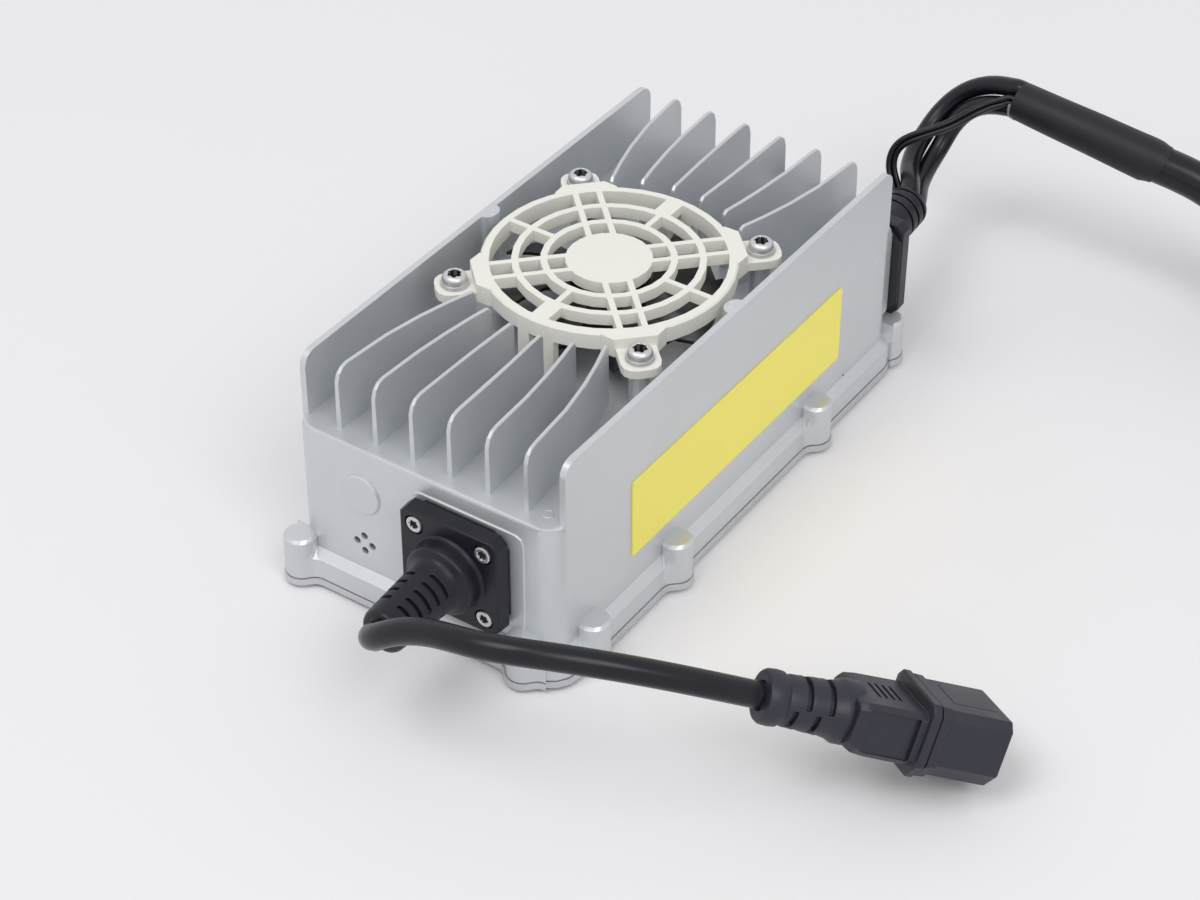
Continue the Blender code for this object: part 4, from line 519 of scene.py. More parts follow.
def rounded_outline(half_x, half_y, radius, steps=5):
    """Outline of a rounded rectangle, anticlockwise."""
    points = []
    for x, y, start in ((1, 1, 0), (-1, 1, 90), (-1, -1, 180), (1, -1, 270)):
        for step in range(steps + 1):
            angle = math.radians(start + 90.0 * step / steps)
            points.append((
                x * (half_x - radius) + radius * math.cos(angle),
                y * (half_y - radius) + radius * math.sin(angle),
            ))
    return points


def cut_outline(half_x, half_y, cut, low_cut=None):
    """Outline of a rectangle with its corners cut off at 45 degrees."""
    low = cut if low_cut is None else low_cut
    return [
        (half_x, half_y - cut), (half_x - cut, half_y),
        (cut - half_x, half_y), (-half_x, half_y - cut),
        (-half_x, low - half_y), (low - half_x, -half_y),
        (half_x - low, -half_y), (half_x, low - half_y),
    ]


def rectangle(low_x, high_x, low_y, high_y):
    return [(low_x, low_y), (high_x, low_y), (high_x, high_y), (low_x, high_y)]


def raised(outline, z):
    return [Vector((x, y, z)) for x, y in outline]


def prism(bm, outline, low, high):
    drawn_through(bm, [raised(outline, low), raised(outline, high)])


def drawn(rings):
    bm = bmesh.new()
    drawn_through(bm, rings)
    return bm


def spun(profile, steps):
    """Spin a (radius, height) profile about Z; a profile that isn't closed ends on the axis."""
    bm = bmesh.new()
    verts = [bm.verts.new((radius, 0.0, height)) for radius, height in profile]
    edges = [bm.edges.new(pair) for pair in zip(verts, verts[1:])]
    if profile[0][0] > 0.0 and profile[-1][0] > 0.0:
        edges.append(bm.edges.new((verts[-1], verts[0])))
    bmesh.ops.spin(
        bm, geom=verts + edges, axis=(0, 0, 1), cent=(0, 0, 0), angle=math.tau, steps=steps, use_merge=True,
    )
    bmesh.ops.remove_doubles(bm, verts=bm.verts, dist=1e-7)
    bmesh.ops.recalc_face_normals(bm, faces=bm.faces)
    return bm


def joined(parts):
    """One bmesh that holds several, each moved by its matrix."""
    whole = bmesh.new()
    for part, matrix in parts:
        mesh = bpy.data.meshes.new("part")
        part.to_mesh(mesh)
        mesh.transform(matrix)
        whole.from_mesh(mesh)
        bpy.data.meshes.remove(mesh)
    return whole


def less(bm, other):
    """One closed bmesh less another, as a new bmesh."""
    pair = []
    for source in (bm, other):
        mesh = bpy.data.meshes.new("solid")
        bmesh.ops.recalc_face_normals(source, faces=source.faces)
        source.to_mesh(mesh)
        source.free()
        pair.append(put("solid", mesh))
    step = pair[0].modifiers.new("cut", "BOOLEAN")
    step.operation = "DIFFERENCE"
    step.solver = "EXACT"
    step.object = pair[1]
    bpy.context.view_layer.update()
    result = bmesh.new()
    result.from_object(pair[0], bpy.context.evaluated_depsgraph_get())
    for helper in pair:
        mesh = helper.data
        bpy.data.objects.remove(helper)
        bpy.data.meshes.remove(mesh)
    bmesh.ops.dissolve_limit(
        result, angle_limit=math.radians(0.5), verts=result.verts, edges=result.edges,
        use_dissolve_boundaries=False,
    )
    return result


def sunk(bm, outlines, low, high):
    """A closed bmesh less a prism for each outline."""
    cutter = bmesh.new()
    for outline in outlines:
        prism(cutter, outline, low, high)
    return less(bm, cutter)


def on_side(x, y, z):
    """Stand a flat shape up on the charger's right-hand side, facing out."""
    return Matrix(((0, 0, 1, x), (1, 0, 0, y), (0, 1, 0, z), (0, 0, 0, 1)))


def squared(lean, along):
    """The part of a direction that is square to another, at length one."""
    return (lean - along * lean.dot(along)).normalized()


def square_places(side):
    half = side / 2
    return [(half, half), (-half, half), (-half, -half), (half, -half)]


# Leads and routes

def natural_line(points, pieces):
    """Evenly spaced points on a natural cubic curve through the given points."""
    route = [Vector(point) for point in points]
    count = len(route)
    knots = [0.0]
    for before, after in zip(route, route[1:]):
        knots.append(knots[-1] + (after - before).length)
    steps = [knots[i + 1] - knots[i] for i in range(count - 1)]
    upper, bends = [0.0] * count, [Vector((0, 0, 0))] * count
    for i in range(1, count - 1):
        rise = (route[i + 1] - route[i]) / steps[i] - (route[i] - route[i - 1]) / steps[i - 1]
        pivot = 2 * (steps[i - 1] + steps[i]) - steps[i - 1] * upper[i - 1]
        upper[i] = steps[i] / pivot
        bends[i] = (rise * 6 - bends[i - 1] * steps[i - 1]) / pivot
    for i in range(count - 2, 0, -1):
        bends[i] = bends[i] - bends[i + 1] * upper[i]
    fine = []
    for sample in range(401):
        distance = knots[-1] * sample / 400
        i = max(k for k in range(count - 1) if distance >= knots[k] or k == 0)
        a, b = (knots[i + 1] - distance) / steps[i], (distance - knots[i]) / steps[i]
        curve = bends[i] * (a ** 3 - a) + bends[i + 1] * (b ** 3 - b)
        fine.append(route[i] * a + route[i + 1] * b + curve * steps[i] * steps[i] / 6)
    lengths = [0.0]
    for before, after in zip(fine, fine[1:]):
        lengths.append(lengths[-1] + (after - before).length)
    even, index = [fine[0]], 0
    for piece in range(1, pieces):
        target = lengths[-1] * piece / pieces
        while lengths[index + 1] < target:
            index += 1
        share = (target - lengths[index]) / (lengths[index + 1] - lengths[index])
        even.append(fine[index].lerp(fine[index + 1], share))
    return even + [fine[-1]]


def round_lead(name, points, diameter, finish_name, stands_for, sides=6, radii=None):
    """A round lead along smooth points, as one curve with a bevel."""
    curve = bpy.data.curves.new(name, "CURVE")
    curve.dimensions = "3D"
    curve.bevel_depth = diameter / 2
    curve.bevel_resolution = sides
    curve.resolution_u = 5
    curve.use_fill_caps = True
    spline = curve.splines.new("BEZIER")
    spline.bezier_points.add(len(points) - 1)
    for i, point in enumerate(points):
        knot = spline.bezier_points[i]
        knot.co = point
        knot.handle_left_type = knot.handle_right_type = "AUTO"
        if radii:
            knot.radius = radii[i] / (diameter / 2)
    curve.materials.append(surface(finish_name))
    return adopted(put(name, curve), stands_for)


def mains_route():
    start = Vector((AC_GLAND[0], -BOOT_TIP, AC_GLAND[1]))
    out = Vector(PLUG_OUT).normalized()
    end = Vector(PLUG_NOSE) - out * (PLUG_LENGTH + CLEAR)
    inner = [start - Vector((0, LEAD_IN, 0)), *AC_ROUTE, end - out * LEAD_IN]
    return [start] + natural_line(inner, 30) + [end]


def bundle_line():
    """Middle line of the two output leads, with the way they lie side by side."""
    points = ((DC_GLAND[0], BOOT_TIP, DC_GLAND[1]), *DC_ROUTE, SLEEVE_MOUTH)
    leans = (*DC_LEANS, SLEEVE_LEAN)
    return [Vector(point) for point in points], [Vector(lean) for lean in leans]


def beside(points, leans, offset, last_way):
    """Shift each point of a route sideways by the offset, along its lean."""
    moved = []
    for i, (point, lean) in enumerate(zip(points, leans)):
        before, after = points[max(i - 1, 0)], points[min(i + 1, len(points) - 1)]
        along = (after - before).normalized()
        if i == 0:
            along = Vector((0, 1, 0))
        if i == len(points) - 1:
            along = last_way
        side = squared(lean, along)
        moved.append(point + side * offset)
    return moved


def sleeve_way():
    return (Vector(SLEEVE_ROUTE[0]) - Vector(SLEEVE_MOUTH)).normalized()


def output_lead_route(side):
    points, leans = bundle_line()
    into = sleeve_way()
    moved = beside(points, leans, side * (DC_LEAD_DIAMETER / 2 + CLEAR / 2), into)
    moved[-1] = moved[-1] - into * CLEAR
    moved.insert(-1, moved[-1] - into * LEAD_IN)
    moved.insert(1, moved[0] + Vector((0, LEAD_IN, 0)))
    return [moved[0]] + natural_line(moved[1:-1], 22) + [moved[-1] + into * LEAD_IN]


def signal_routes():
    """Two fine cores side by side, turned to lie flat on the thick leads."""
    past = DC_LEAD_DIAMETER / 2 + 0.0020 + CLEAR
    aside = math.sqrt(past * past - (DC_LEAD_DIAMETER / 2 + CLEAR / 2) ** 2) + 0.0001
    start = Vector((DC_GLAND[0] + SIGNAL_START[0], BOOT_TIP, DC_GLAND[1] + SIGNAL_START[1]))
    along = sleeve_way()
    lean = Vector(SLEEVE_LEAN)
    lean = squared(lean, along)
    end = Vector(SLEEVE_MOUTH) - along * CLEAR + (lean.cross(along) + lean * 0.25).normalized() * aside
    inner = [start + Vector((0, LEAD_IN, 0)), *SIGNAL_ROUTE, end - along * LEAD_IN]
    middle = [start] + natural_line(inner, 24) + [end + along * 0.0010]
    view = Vector(CAMERA_RIGHT).cross(Vector(CAMERA_UP))
    routes = []
    for side in (-1, 1):
        route = []
        for i, point in enumerate(middle):
            before, after = middle[max(i - 1, 0)], middle[min(i + 1, len(middle) - 1)]
            across = (after - before).normalized().cross(view).normalized()
            route.append(point + across * side * SIGNAL_CORE_DIAMETER * 0.48)
        routes.append(route)
    return routes


def cable_line():
    """The sleeve's middle line and, past it, the cable's down to the coil."""
    mouth = Vector(SLEEVE_MOUTH)
    end, way = coil_touch(COIL_ENTRY_ANGLE, -1)
    points = [mouth + sleeve_way() * MOUTH_DEPTH, *SLEEVE_ROUTE, *CABLE_ROUTE, end - way * LEAD_IN]
    whole = natural_line(points, 36)
    join = min(range(len(whole)), key=lambda i: (whole[i] - Vector(SLEEVE_ROUTE[-1])).length)
    return [mouth] + whole[:join + 1], whole[join + 1:] + [end]


def coil_touch(degrees, side):
    """Where a straight run beside the coil meets it, and which way it runs.

    The side is -1 for the run that comes in and 1 for the one that leaves.
    """
    turn = COIL_RADIUS + CABLE_DIAMETER / 2
    rim = COIL_RADIUS + CABLE_DIAMETER + CLEAR
    reach = math.sqrt(rim ** 2 - (turn - CABLE_DIAMETER / 2) ** 2)
    angle = math.radians(degrees)
    out = Vector((math.cos(angle), math.sin(angle), 0.0))
    way = Vector((-out.y, out.x, 0.0))
    place = Vector((*COIL_PLACE, CABLE_DIAMETER / 2 + CLEAR)) + out * turn + way * reach * side
    return place, way


def eased(share):
    share = max(0.0, min(1.0, share))
    return share * share * (3.0 - 2.0 * share)


def coil_turns():
    """Turns of the coil: out and in on the table, then in and out on top of them."""
    low = CABLE_DIAMETER / 2 + CLEAR
    high = low + CABLE_DIAMETER
    outer, inner = COIL_RADIUS + CABLE_DIAMETER / 2, COIL_RADIUS - CABLE_DIAMETER / 2
    first, last = COIL_ENTRY_ANGLE, COIL_EXIT_ANGLE + 4 * 360.0
    points = []
    for step in range(COIL_STEPS + 1):
        angle = first + (last - first) * step / COIL_STEPS
        inward, climbed, outward = (eased((angle - first - start) / span) for start, span in COIL_MOVES)
        radius = outer + (inner - outer) * (inward - outward)
        height = low + (high - low) * climbed
        turn = math.radians(angle)
        points.append(Vector((
            COIL_PLACE[0] + radius * math.cos(turn), COIL_PLACE[1] + radius * math.sin(turn), height,
        )))
    return points


def tail_points():
    """The cable leaves the top of the coil and comes down to its connector."""
    start = coil_turns()[-1]
    end, way = tail_end()
    run = (end - start).dot(way)
    points = []
    for share, drop in TAIL_DROPS:
        points.append(start + way * run * share + Vector((0, 0, (end.z - start.z) * drop)))
    return points + [end]


def tail_end():
    """The end of the cable at its connector, and the way it points."""
    place, way = coil_touch(COIL_EXIT_ANGLE, 1)
    place += way * TAIL_LENGTH
    return Vector((place.x, place.y, TAIL_END_Z)), way


class CHARGER_OT_stage(bpy.types.Operator):
    """Camera at the photograph's angle, pale floor, sky and soft lamps."""

    bl_idname = "charger.stage"
    bl_label = "Stage"

    def execute(self, context):
        scene = context.scene
        look = scene.charger_stage
        camera = bpy.data.cameras.new("camera")
        camera.lens = CAMERA_LENS
        camera.sensor_width = CAMERA_SENSOR
        camera.clip_start = 0.01
        camera.dof.use_dof = False
        holder = put("camera", camera)
        right, up = Vector(CAMERA_RIGHT), Vector(CAMERA_UP)
        place = Matrix((right, up, right.cross(up))).transposed().to_4x4()
        place.translation = Vector(CAMERA_PLACE)
        holder.matrix_world = place
        scene.camera = holder
        bm = bmesh.new()
        bmesh.ops.create_grid(bm, x_segments=1, y_segments=1, size=FLOOR_HALF)
        mesh = bpy.data.meshes.new("floor")
        bm.to_mesh(mesh)
        bm.free()
        mesh.materials.append(floor_surface(look.floor))
        put("floor", mesh)
        scene.world = sky(look.floor, look.sky)
        for kind, spot, aim in LAMPS:
            name = f"{kind}_lamp"
            lamp = bpy.data.lights.new(name, "AREA")
            lamp.size = LAMP_SIZE
            lamp.energy = getattr(look, kind)
            made = put(name, lamp)
            made.location = spot
            made.rotation_euler = (Vector(spot) - Vector(aim)).to_track_quat("Z", "Y").to_euler()
        scene.view_settings.view_transform = "Standard"
        return {"FINISHED"}


def floor_surface(colour):
    made, tree = new_material("pale_floor")
    patch = placed_group(tree, surface_grain, scale=300.0, patch_scale=2.0).outputs["Patches"]
    tone = blended(tree, patch, shaded(colour, 0.995), shaded(colour, 1.005))
    look = {"Roughness": 0.9, "Specular IOR Level": 0.1, "Base Color": tone}
    fed(tree, tree.nodes["Principled BSDF"], look)
    return made


def sky(colour, strength):
    """Even pale light; what the camera and gloss see is the backdrop's colour."""
    world = bpy.data.worlds.new("sky")
    world.use_nodes = True
    tree = world.node_tree
    light = fed(tree, tree.nodes["Background"], {"Color": (0.97, 0.99, 1.0, 1.0), "Strength": strength})
    seen = fed(tree, "Background", {"Color": (*colour, 1.0)})
    rays = fed(tree, "LightPath", {}).outputs
    direct = calculated(tree, "MAXIMUM", rays["Is Camera Ray"], rays["Is Glossy Ray"])
    direct = calculated(tree, "MAXIMUM", direct, rays["Is Transmission Ray"])
    mixed = fed(tree, "MixShader", {})
    for socket, term in zip(mixed.inputs, (direct, light.outputs[0], seen.outputs[0])):
        feed(tree, socket, term)
    fed(tree, tree.nodes["World Output"], {"Surface": mixed.outputs[0]})
    return world


class CHARGER_OT_mains_lead(bpy.types.Operator):
    """The mains lead from its boot to the plug."""

    bl_idname = "charger.mains_lead"
    bl_label = "Mains lead"

    def execute(self, context):
        route = mains_route()
        lead = round_lead("mains_lead", route, AC_LEAD_DIAMETER, "jacket_black", ["ac_lead"])
        plug = make_plug()
        return {"FINISHED"}


def plug_matrix():
    """The plug's own axes: X across it, Y out of its nose, Z up."""
    out = Vector(PLUG_OUT).normalized()
    across = Vector(PLUG_ACROSS)
    across = squared(across, out)
    turn = Matrix((across, out, across.cross(out))).transposed().to_4x4()
    return Matrix.Translation(Vector(PLUG_NOSE)) @ turn


PLUG_HALF = (0.0141, 0.0112)
PLUG_COLLAR_END = 0.0275
PLUG_BODY_HALF = (0.0137, 0.0087)
PLUG_BODY_END = 0.0490
PLUG_RECESS = 0.0165
PLUG_WALL = 0.0022
# Cuts across the corners, top and low, of the shroud, the grip body and the mouth
PLUG_CUTS = (0.0024, 0.0053)
PLUG_BODY_CUTS = (0.0018, 0.0028)
PLUG_MOUTH_CUTS = (0.0012, 0.0040)
# Panel lines on top: their middle and half sizes
PLUG_LINES = ((-0.0015, -0.0172, 0.0066, 0.00016), (0.0055, -0.0100, 0.00016, 0.0076))
PLUG_GRIPS = 4
PLUG_GRIP_STEP = 0.0023
PLUG_SLOTS = 4
PLUG_SLOT_STEP = 0.0036
PLUG_SLOT_DEPTH = 0.0016
PLUG_BOOT_RADII = (0.0088, 0.0074)
# How far the shroud and collar stand out, and how much of the body is left, at depths behind the nose
PLUG_PROFILE = (
    (-0.0003, 0.0), (0.0, 0.0005), (0.0, 0.0205), (0.0006, 0.0208), (0.0007, 0.0239),
    (0.0002, 0.0241), (0.0002, 0.0246), (0.0012, 0.0248), (0.0012, 0.0272), (0.0007, 0.0275),
)
PLUG_BODY_PROFILE = ((1.0, 0.0277), (0.985, 0.0430), (0.95, 0.0468), (0.86, 0.0486), (0.78, 0.0490))


def plug_ring(half_x, half_z, y, cuts):
    return [Vector((x, y, z)) for x, z in cut_outline(half_x, half_z, *cuts)]


def plug_shell():
    """Shroud, collar and grip body as one drawn shape, with the socket's mouth."""
    wide, tall = PLUG_HALF
    body_x, body_z = PLUG_BODY_HALF
    rings = [plug_ring(wide + out, tall + out, -back, PLUG_CUTS) for out, back in PLUG_PROFILE]
    for share, back in PLUG_BODY_PROFILE:
        rings.append(plug_ring(body_x * share, body_z * share, -back, PLUG_BODY_CUTS))
    bm = drawn(rings)
    softened(bm, 0.0007, 4, 24.0)
    wide_in, tall_in = wide - PLUG_WALL, tall - PLUG_WALL
    bm = less(bm, drawn([plug_ring(wide_in, tall_in, y, PLUG_MOUTH_CUTS) for y in (0.0020, -PLUG_RECESS)]))
    near, far = -PLUG_COLLAR_END - 0.0022, -PLUG_BODY_END + 0.0034
    inside, outside = body_x - 0.0015, body_x + 0.0040
    panels = [rectangle(-outside, -inside, near, far), rectangle(inside, outside, near, far)]
    bm = sunk(bm, panels, -body_z * 0.78, body_z * 0.80)
    grips = []
    for i in range(PLUG_GRIPS):
        y = -PLUG_COLLAR_END - 0.0064 - PLUG_GRIP_STEP * i
        outline = rounded_outline(body_x * 0.40, 0.00045, 0.0003, 2)
        grips.append([(x, y + across) for x, across in outline])
    bm = sunk(bm, grips, body_z * 0.91, body_z * 1.3)
    for x, y, half_x, half_y in PLUG_LINES:
        line = rectangle(x - half_x, x + half_x, y - half_y, y + half_y)
        bm = sunk(bm, [line], tall - 0.0002, tall + 0.0010)
    return softened(bm, 0.00025, 2, 50.0)


def plug_boot():
    """Slotted strain relief behind the plug, and the disc at its end."""
    root, tip = PLUG_BOOT_RADII
    start, end = -PLUG_BODY_END + 0.0040, -PLUG_LENGTH
    profile = [
        (0.0, start), (root + 0.0010, start), (root + 0.0010, -PLUG_BODY_END - 0.0012),
        (root + 0.0005, -PLUG_BODY_END - 0.0022), (root, -PLUG_BODY_END - 0.0034),
    ]
    heights = [-PLUG_BODY_END - 0.0062 - PLUG_SLOT_STEP * i for i in range(PLUG_SLOTS)]
    for y in heights:
        share = (-PLUG_BODY_END - y) / (PLUG_LENGTH - PLUG_BODY_END)
        profile += [(root + (tip - root) * share, y + 0.0009), (root + (tip - root) * share, y - 0.0009)]
    disc = root - 0.0005
    profile += [
        (tip, end + 0.0068), (disc, end + 0.0056), (disc + 0.0002, end + 0.0036), (disc, end + 0.0012),
        (disc - 0.0006, end + 0.0003), (disc - 0.0016, end), (AC_LEAD_DIAMETER / 2 + 0.0004, end + 0.0002),
        (AC_LEAD_DIAMETER / 2 + 0.0002, end + 0.0015), (0.0, end + 0.0015),
    ]
    bm = spun(profile, 60)
    for row, y in enumerate(heights):
        toward, half = (-62.0, 56.0) if row % 2 == 0 else (28.0, 26.0)
        slot_faces(bm, y - 0.0008, y + 0.0008, toward, half, PLUG_SLOT_DEPTH)
    turn = Matrix(((1, 0, 0, 0), (0, 0, 1, 0), (0, -1, 0, 0), (0, 0, 0, 1)))
    bmesh.ops.transform(bm, matrix=turn, verts=bm.verts)
    return softened(bm, 0.0002, 2, 40.0)


def slot_faces(bm, low, high, toward, half_angle, depth):
    """Sink the wall between two heights, on the two sides that face an angle."""
    chosen = []
    for face in bm.faces:
        middle = face.calc_center_median()
        if not low < middle.z < high or abs(face.normal.z) > 0.6:
            continue
        angle = math.degrees(math.atan2(middle.y, middle.x))
        off = (angle - toward + 90.0) % 180.0 - 90.0
        if abs(off) < half_angle:
            chosen.append(face)
    if chosen:
        bmesh.ops.inset_region(
            bm, faces=chosen, thickness=0.00012, depth=-depth, use_even_offset=True, use_boundary=True,
        )


def make_plug():
    """The plug's moulding and its three pins, as the pieces on the lead."""
    matrix = plug_matrix()
    shell = joined([(plug_shell(), matrix), (plug_boot(), matrix)])
    moulding = finished("plug_moulding", shell, "plug_black", ["plug_body"], weighted=True)
    pieces = [moulding]
    for i in (1, 2, 3):
        pieces.append(refined(f"flat_pin_{i}", f"plug_pin_{i}", "bright_nickel", 0.0002, 2, 30.0))
    return pieces


class CHARGER_OT_output_leads(bpy.types.Operator):
    """Two thick output leads, the thin signal pair and the sleeve over their joint."""

    bl_idname = "charger.output_leads"
    bl_label = "Output leads"

    def execute(self, context):
        make_sleeve()
        make_sleeve_lip()
        for number, side in ((1, 1), (2, -1)):
            route = output_lead_route(side)
            lead = round_lead(
                f"thick_lead_{number}", route, DC_LEAD_DIAMETER, "jacket_black", [f"output_lead_{number}"],
            )
        for number, route in enumerate(signal_routes(), 1):
            core = round_lead(
                f"signal_core_{number}", route, SIGNAL_CORE_DIAMETER, "jacket_black", ["signal_lead"], 4,
            )
        return {"FINISHED"}


def make_sleeve():
    """Shrink sleeve: loose over the leads, then gripping the cable at a slanted step."""
    line, _rest = cable_line()
    step = (line[-1] - line[-2]).normalized()
    count = len(line)
    rings = []
    for i, point in enumerate(line + [line[-1] + step * SLEEVE_STEP * share for share in (0.25, 0.5, 0.75, 1.0)]):
        over = max(0, i - count + 1)
        before = line[min(i, count - 1) - 1] if i else line[0]
        along = step if i >= count - 1 else (line[i + 1] - before).normalized()
        side = along.cross(Vector((0, 0, 1))).normalized()
        above = side.cross(along)
        share = min(1.0, i / (count - 1))
        radius = SLEEVE_RADII[0] + (SLEEVE_RADII[1] - SLEEVE_RADII[0]) * share
        radius += (CABLE_DIAMETER / 2 + 0.0003 - SLEEVE_RADII[1]) * eased(over / 4)
        ring = []
        for k in range(40):
            angle = math.tau * k / 40
            flat = 1.0 + 0.035 * math.cos(2 * angle) * (1.0 - share)
            ridge = 1.0 + 0.030 * math.exp(-((angle - 4.3) / 0.35) ** 2) * eased(share * 2.0) * (over == 0)
            slant = 0.0022 * math.cos(angle - 1.2) * (0 < over)
            reach = radius * flat * ridge
            ring.append(point + side * reach * math.cos(angle) + above * reach * math.sin(angle) + along * slant)
        rings.append(ring)
    bm = drawn(rings)
    for face in list(bm.faces):
        if len(face.verts) > 8 and (face.calc_center_median() - line[0]).length < 0.003:
            bmesh.ops.inset_region(bm, faces=[face], thickness=0.0010, use_even_offset=True)
            bmesh.ops.translate(bm, verts=list(face.verts), vec=sleeve_way() * MOUTH_DEPTH)
    return finished("shrink_sleeve", bm, "sleeve_black", ["lead_sleeve"], smooth=50.0)


def make_sleeve_lip():
    """Pale cut edge of the sleeve, an arc at the lower side of its mouth."""
    radius = SLEEVE_RADII[0]
    arc = math.radians(74.0)
    bm = bmesh.new()
    outline = [
        (radius - 0.0012, -0.0010), (radius - 0.0001, -0.0012), (radius + 0.0002, 0.0010), (radius - 0.0012, 0.0012),
    ]
    face = bm.faces.new([bm.verts.new((reach, 0.0, height)) for reach, height in outline])
    bmesh.ops.rotate(bm, verts=bm.verts, cent=(0, 0, 0), matrix=Matrix.Rotation(-arc / 2, 3, "Z"))
    bmesh.ops.spin(
        bm, geom=[face] + list(face.edges) + list(face.verts), axis=(0, 0, 1), cent=(0, 0, 0), angle=arc, steps=16,
    )
    bmesh.ops.recalc_face_normals(bm, faces=bm.faces)
    softened(bm, 0.00012, 1, 40.0)
    along = sleeve_way()
    toward = Vector((0.0, -0.90, -0.44))
    toward = squared(toward, along)
    turn = Matrix((toward, along.cross(toward), along)).transposed().to_4x4()
    bm.transform(Matrix.Translation(Vector(SLEEVE_MOUTH)) @ turn)
    return finished("sleeve_lip", bm, "sleeve_cut_edge")


class CHARGER_OT_output_cable(bpy.types.Operator):
    """The round cable past the sleeve, its coil, the straps and the connector."""

    bl_idname = "charger.output_cable"
    bl_label = "Output cable"

    def execute(self, context):
        sleeve, rest = cable_line()
        way = (sleeve[-1] - sleeve[-2]).normalized()
        start = sleeve[-1] + way * (SLEEVE_STEP - 0.0015)
        down = [point for point in rest if (point - start).dot(way) > CABLE_DIAMETER * 0.4]
        entry = coil_turns()[0]
        route = [start, *down, down[-1].lerp(entry, 0.5), *coil_turns(), *tail_points()]
        cable = round_lead(
            "output_cable", route, CABLE_DIAMETER, "jacket_black",
            ["output_cord", "output_coil", "output_tail"],
        )
        on_it = make_connector() + [make_strap(*strap) for strap in enumerate(STRAP_ANGLES, 1)]
        return {"FINISHED"}


def make_strap(number, angle):
    """A strap round all the turns of the coil at one place."""
    half = CABLE_DIAMETER + STRAP_THICK
    low = 0.00002
    width = sizes().tie_width
    middle = CABLE_DIAMETER + CLEAR
    outer = [(x, max(low - middle, z)) for x, z in rounded_outline(half, half, 0.0070, 6)]
    inner = [(x, max(CLEAR - middle, z)) for x, z in rounded_outline(*[half - STRAP_THICK] * 2, 0.0062, 6)]
    bm = bmesh.new()
    prism(bm, outer, -width / 2, width / 2)
    bm = softened(sunk(bm, [inner], -width, width), 0.0002, 1, 60.0)
    stand = Matrix(((1, 0, 0, COIL_RADIUS), (0, 0, -1, 0), (0, 1, 0, middle), (0, 0, 0, 1)))
    place = Matrix.Translation((*COIL_PLACE, 0.0)) @ Matrix.Rotation(math.radians(angle), 4, "Z") @ stand
    bm.transform(place)
    return finished(f"coil_strap_{number}", bm, "moulded_black", weighted=True)


def make_connector():
    """The battery connector on the cable's end, with grip ribs and two blades."""
    _low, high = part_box("connector_body")
    end, way = tail_end()
    turn = Matrix.Rotation(math.atan2(-way.x, way.y) + math.pi, 4, "Z")
    stand = Matrix.Translation((end.x + way.x * CLEAR, end.y + way.y * CLEAR, high.z - 0.0003)) @ turn
    parts = [(softened(merged_copy("connector_body"), sizes().moulded_edge), Matrix.Identity(4))]
    outline = rounded_outline(CONNECTOR_WIDTH * 0.32, 0.0006, 0.0005, 3)
    for i in range(RIBS):
        rib = softened(drawn([raised(outline, 0.0), raised(outline, RIB_HEIGHT)]), 0.0002, 1, 60.0)
        parts.append((rib, stand @ Matrix.Translation((0.0, RIB_START - RIB_STEP * i, 0.0))))
    shell = joined(parts)
    pieces = [finished("connector_moulding", shell, "plug_black", ["connector_body"], weighted=True)]
    for i in (1, 2):
        node = f"connector_contact_{i}"
        pieces.append(refined(f"connector_blade_{i}", node, "bright_nickel", 0.0004, 2, 30.0))
    return pieces


class CHARGER_OT_housing(bpy.types.Operator):
    """The cast housing with its fins, and the small marks of the casting."""

    bl_idname = "charger.housing"
    bl_label = "Housing"

    def execute(self, context):
        refined("housing_casting", "housing", "cast_paint", sizes().cast_edge, weighted=True)
        parts = []
        for x, y, z, radius in EJECTOR_MARKS:
            ring = spun((
                (radius - 0.00025, -0.0002), (radius - 0.00020, 0.00012), (radius, 0.00020),
                (radius + 0.00020, 0.00012), (radius + 0.00025, -0.0002),
            ), 28)
            parts.append((ring, Matrix.Translation((x, y, z))))
        finished("casting_marks", joined(parts), "cast_paint", smooth=60.0)
        speck = drawn([lobed_ring(0.00050, 0.0, 14, 0.12, 3), lobed_ring(0.00042, 0.00005, 14, 0.12, 3)])
        speck.transform(on_side(HALF_W, *SPECK_PLACE))
        finished("side_speck", speck, "ink_speck")
        return {"FINISHED"}


FIN_TOP_Z = 0.0853
EJECTOR_MARKS = (
    (0.0421, -0.0950, DECK_Z, 0.0017), (-0.0421, 0.0950, DECK_Z, 0.0017),
    (0.0466, 0.0, FIN_TOP_Z, 0.0013), (-0.0466, 0.0, FIN_TOP_Z, 0.0013),
)
SPECK_PLACE = (0.0711, 0.0149)


class CHARGER_OT_cover(bpy.types.Operator):
    """The cover plate under the housing and its nine screws."""

    bl_idname = "charger.cover"
    bl_label = "Cover plate"

    def execute(self, context):
        refined("pressed_cover", "cover_plate", "plate_metal", 0.0005, weighted=True)
        for i in range(1, 10):
            low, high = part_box(f"cover_screw_{i}")
            middle = (low + high) / 2
            seat = Matrix.Translation((middle.x, middle.y, low.z + COVER_HEAD[1]))
            seat = seat @ Matrix.Rotation(math.pi, 4, "X")
            fixing(f"cover_fixing_{i}", f"cover_screw_{i}", seat, COVER_HEAD, COVER_SHANK)
        return {"FINISHED"}


# Screw heads: radius, height, radius of the recess, and height of the flange if there is one
COVER_HEAD = (0.0036, 0.0012, 0.0014)
FAN_HEAD = (0.0047, 0.0039, 0.0021, 0.0010)
GLAND_HEAD = (0.0029, 0.0014, 0.0015)
# Screw shanks: radius and length
COVER_SHANK = (0.0015, 0.0098)
FAN_SHANK = (0.0015, 0.0118)
GLAND_SHANK = (0.0013, 0.0070)
SCREW_STEPS = 72
SHANK_STEPS = 16


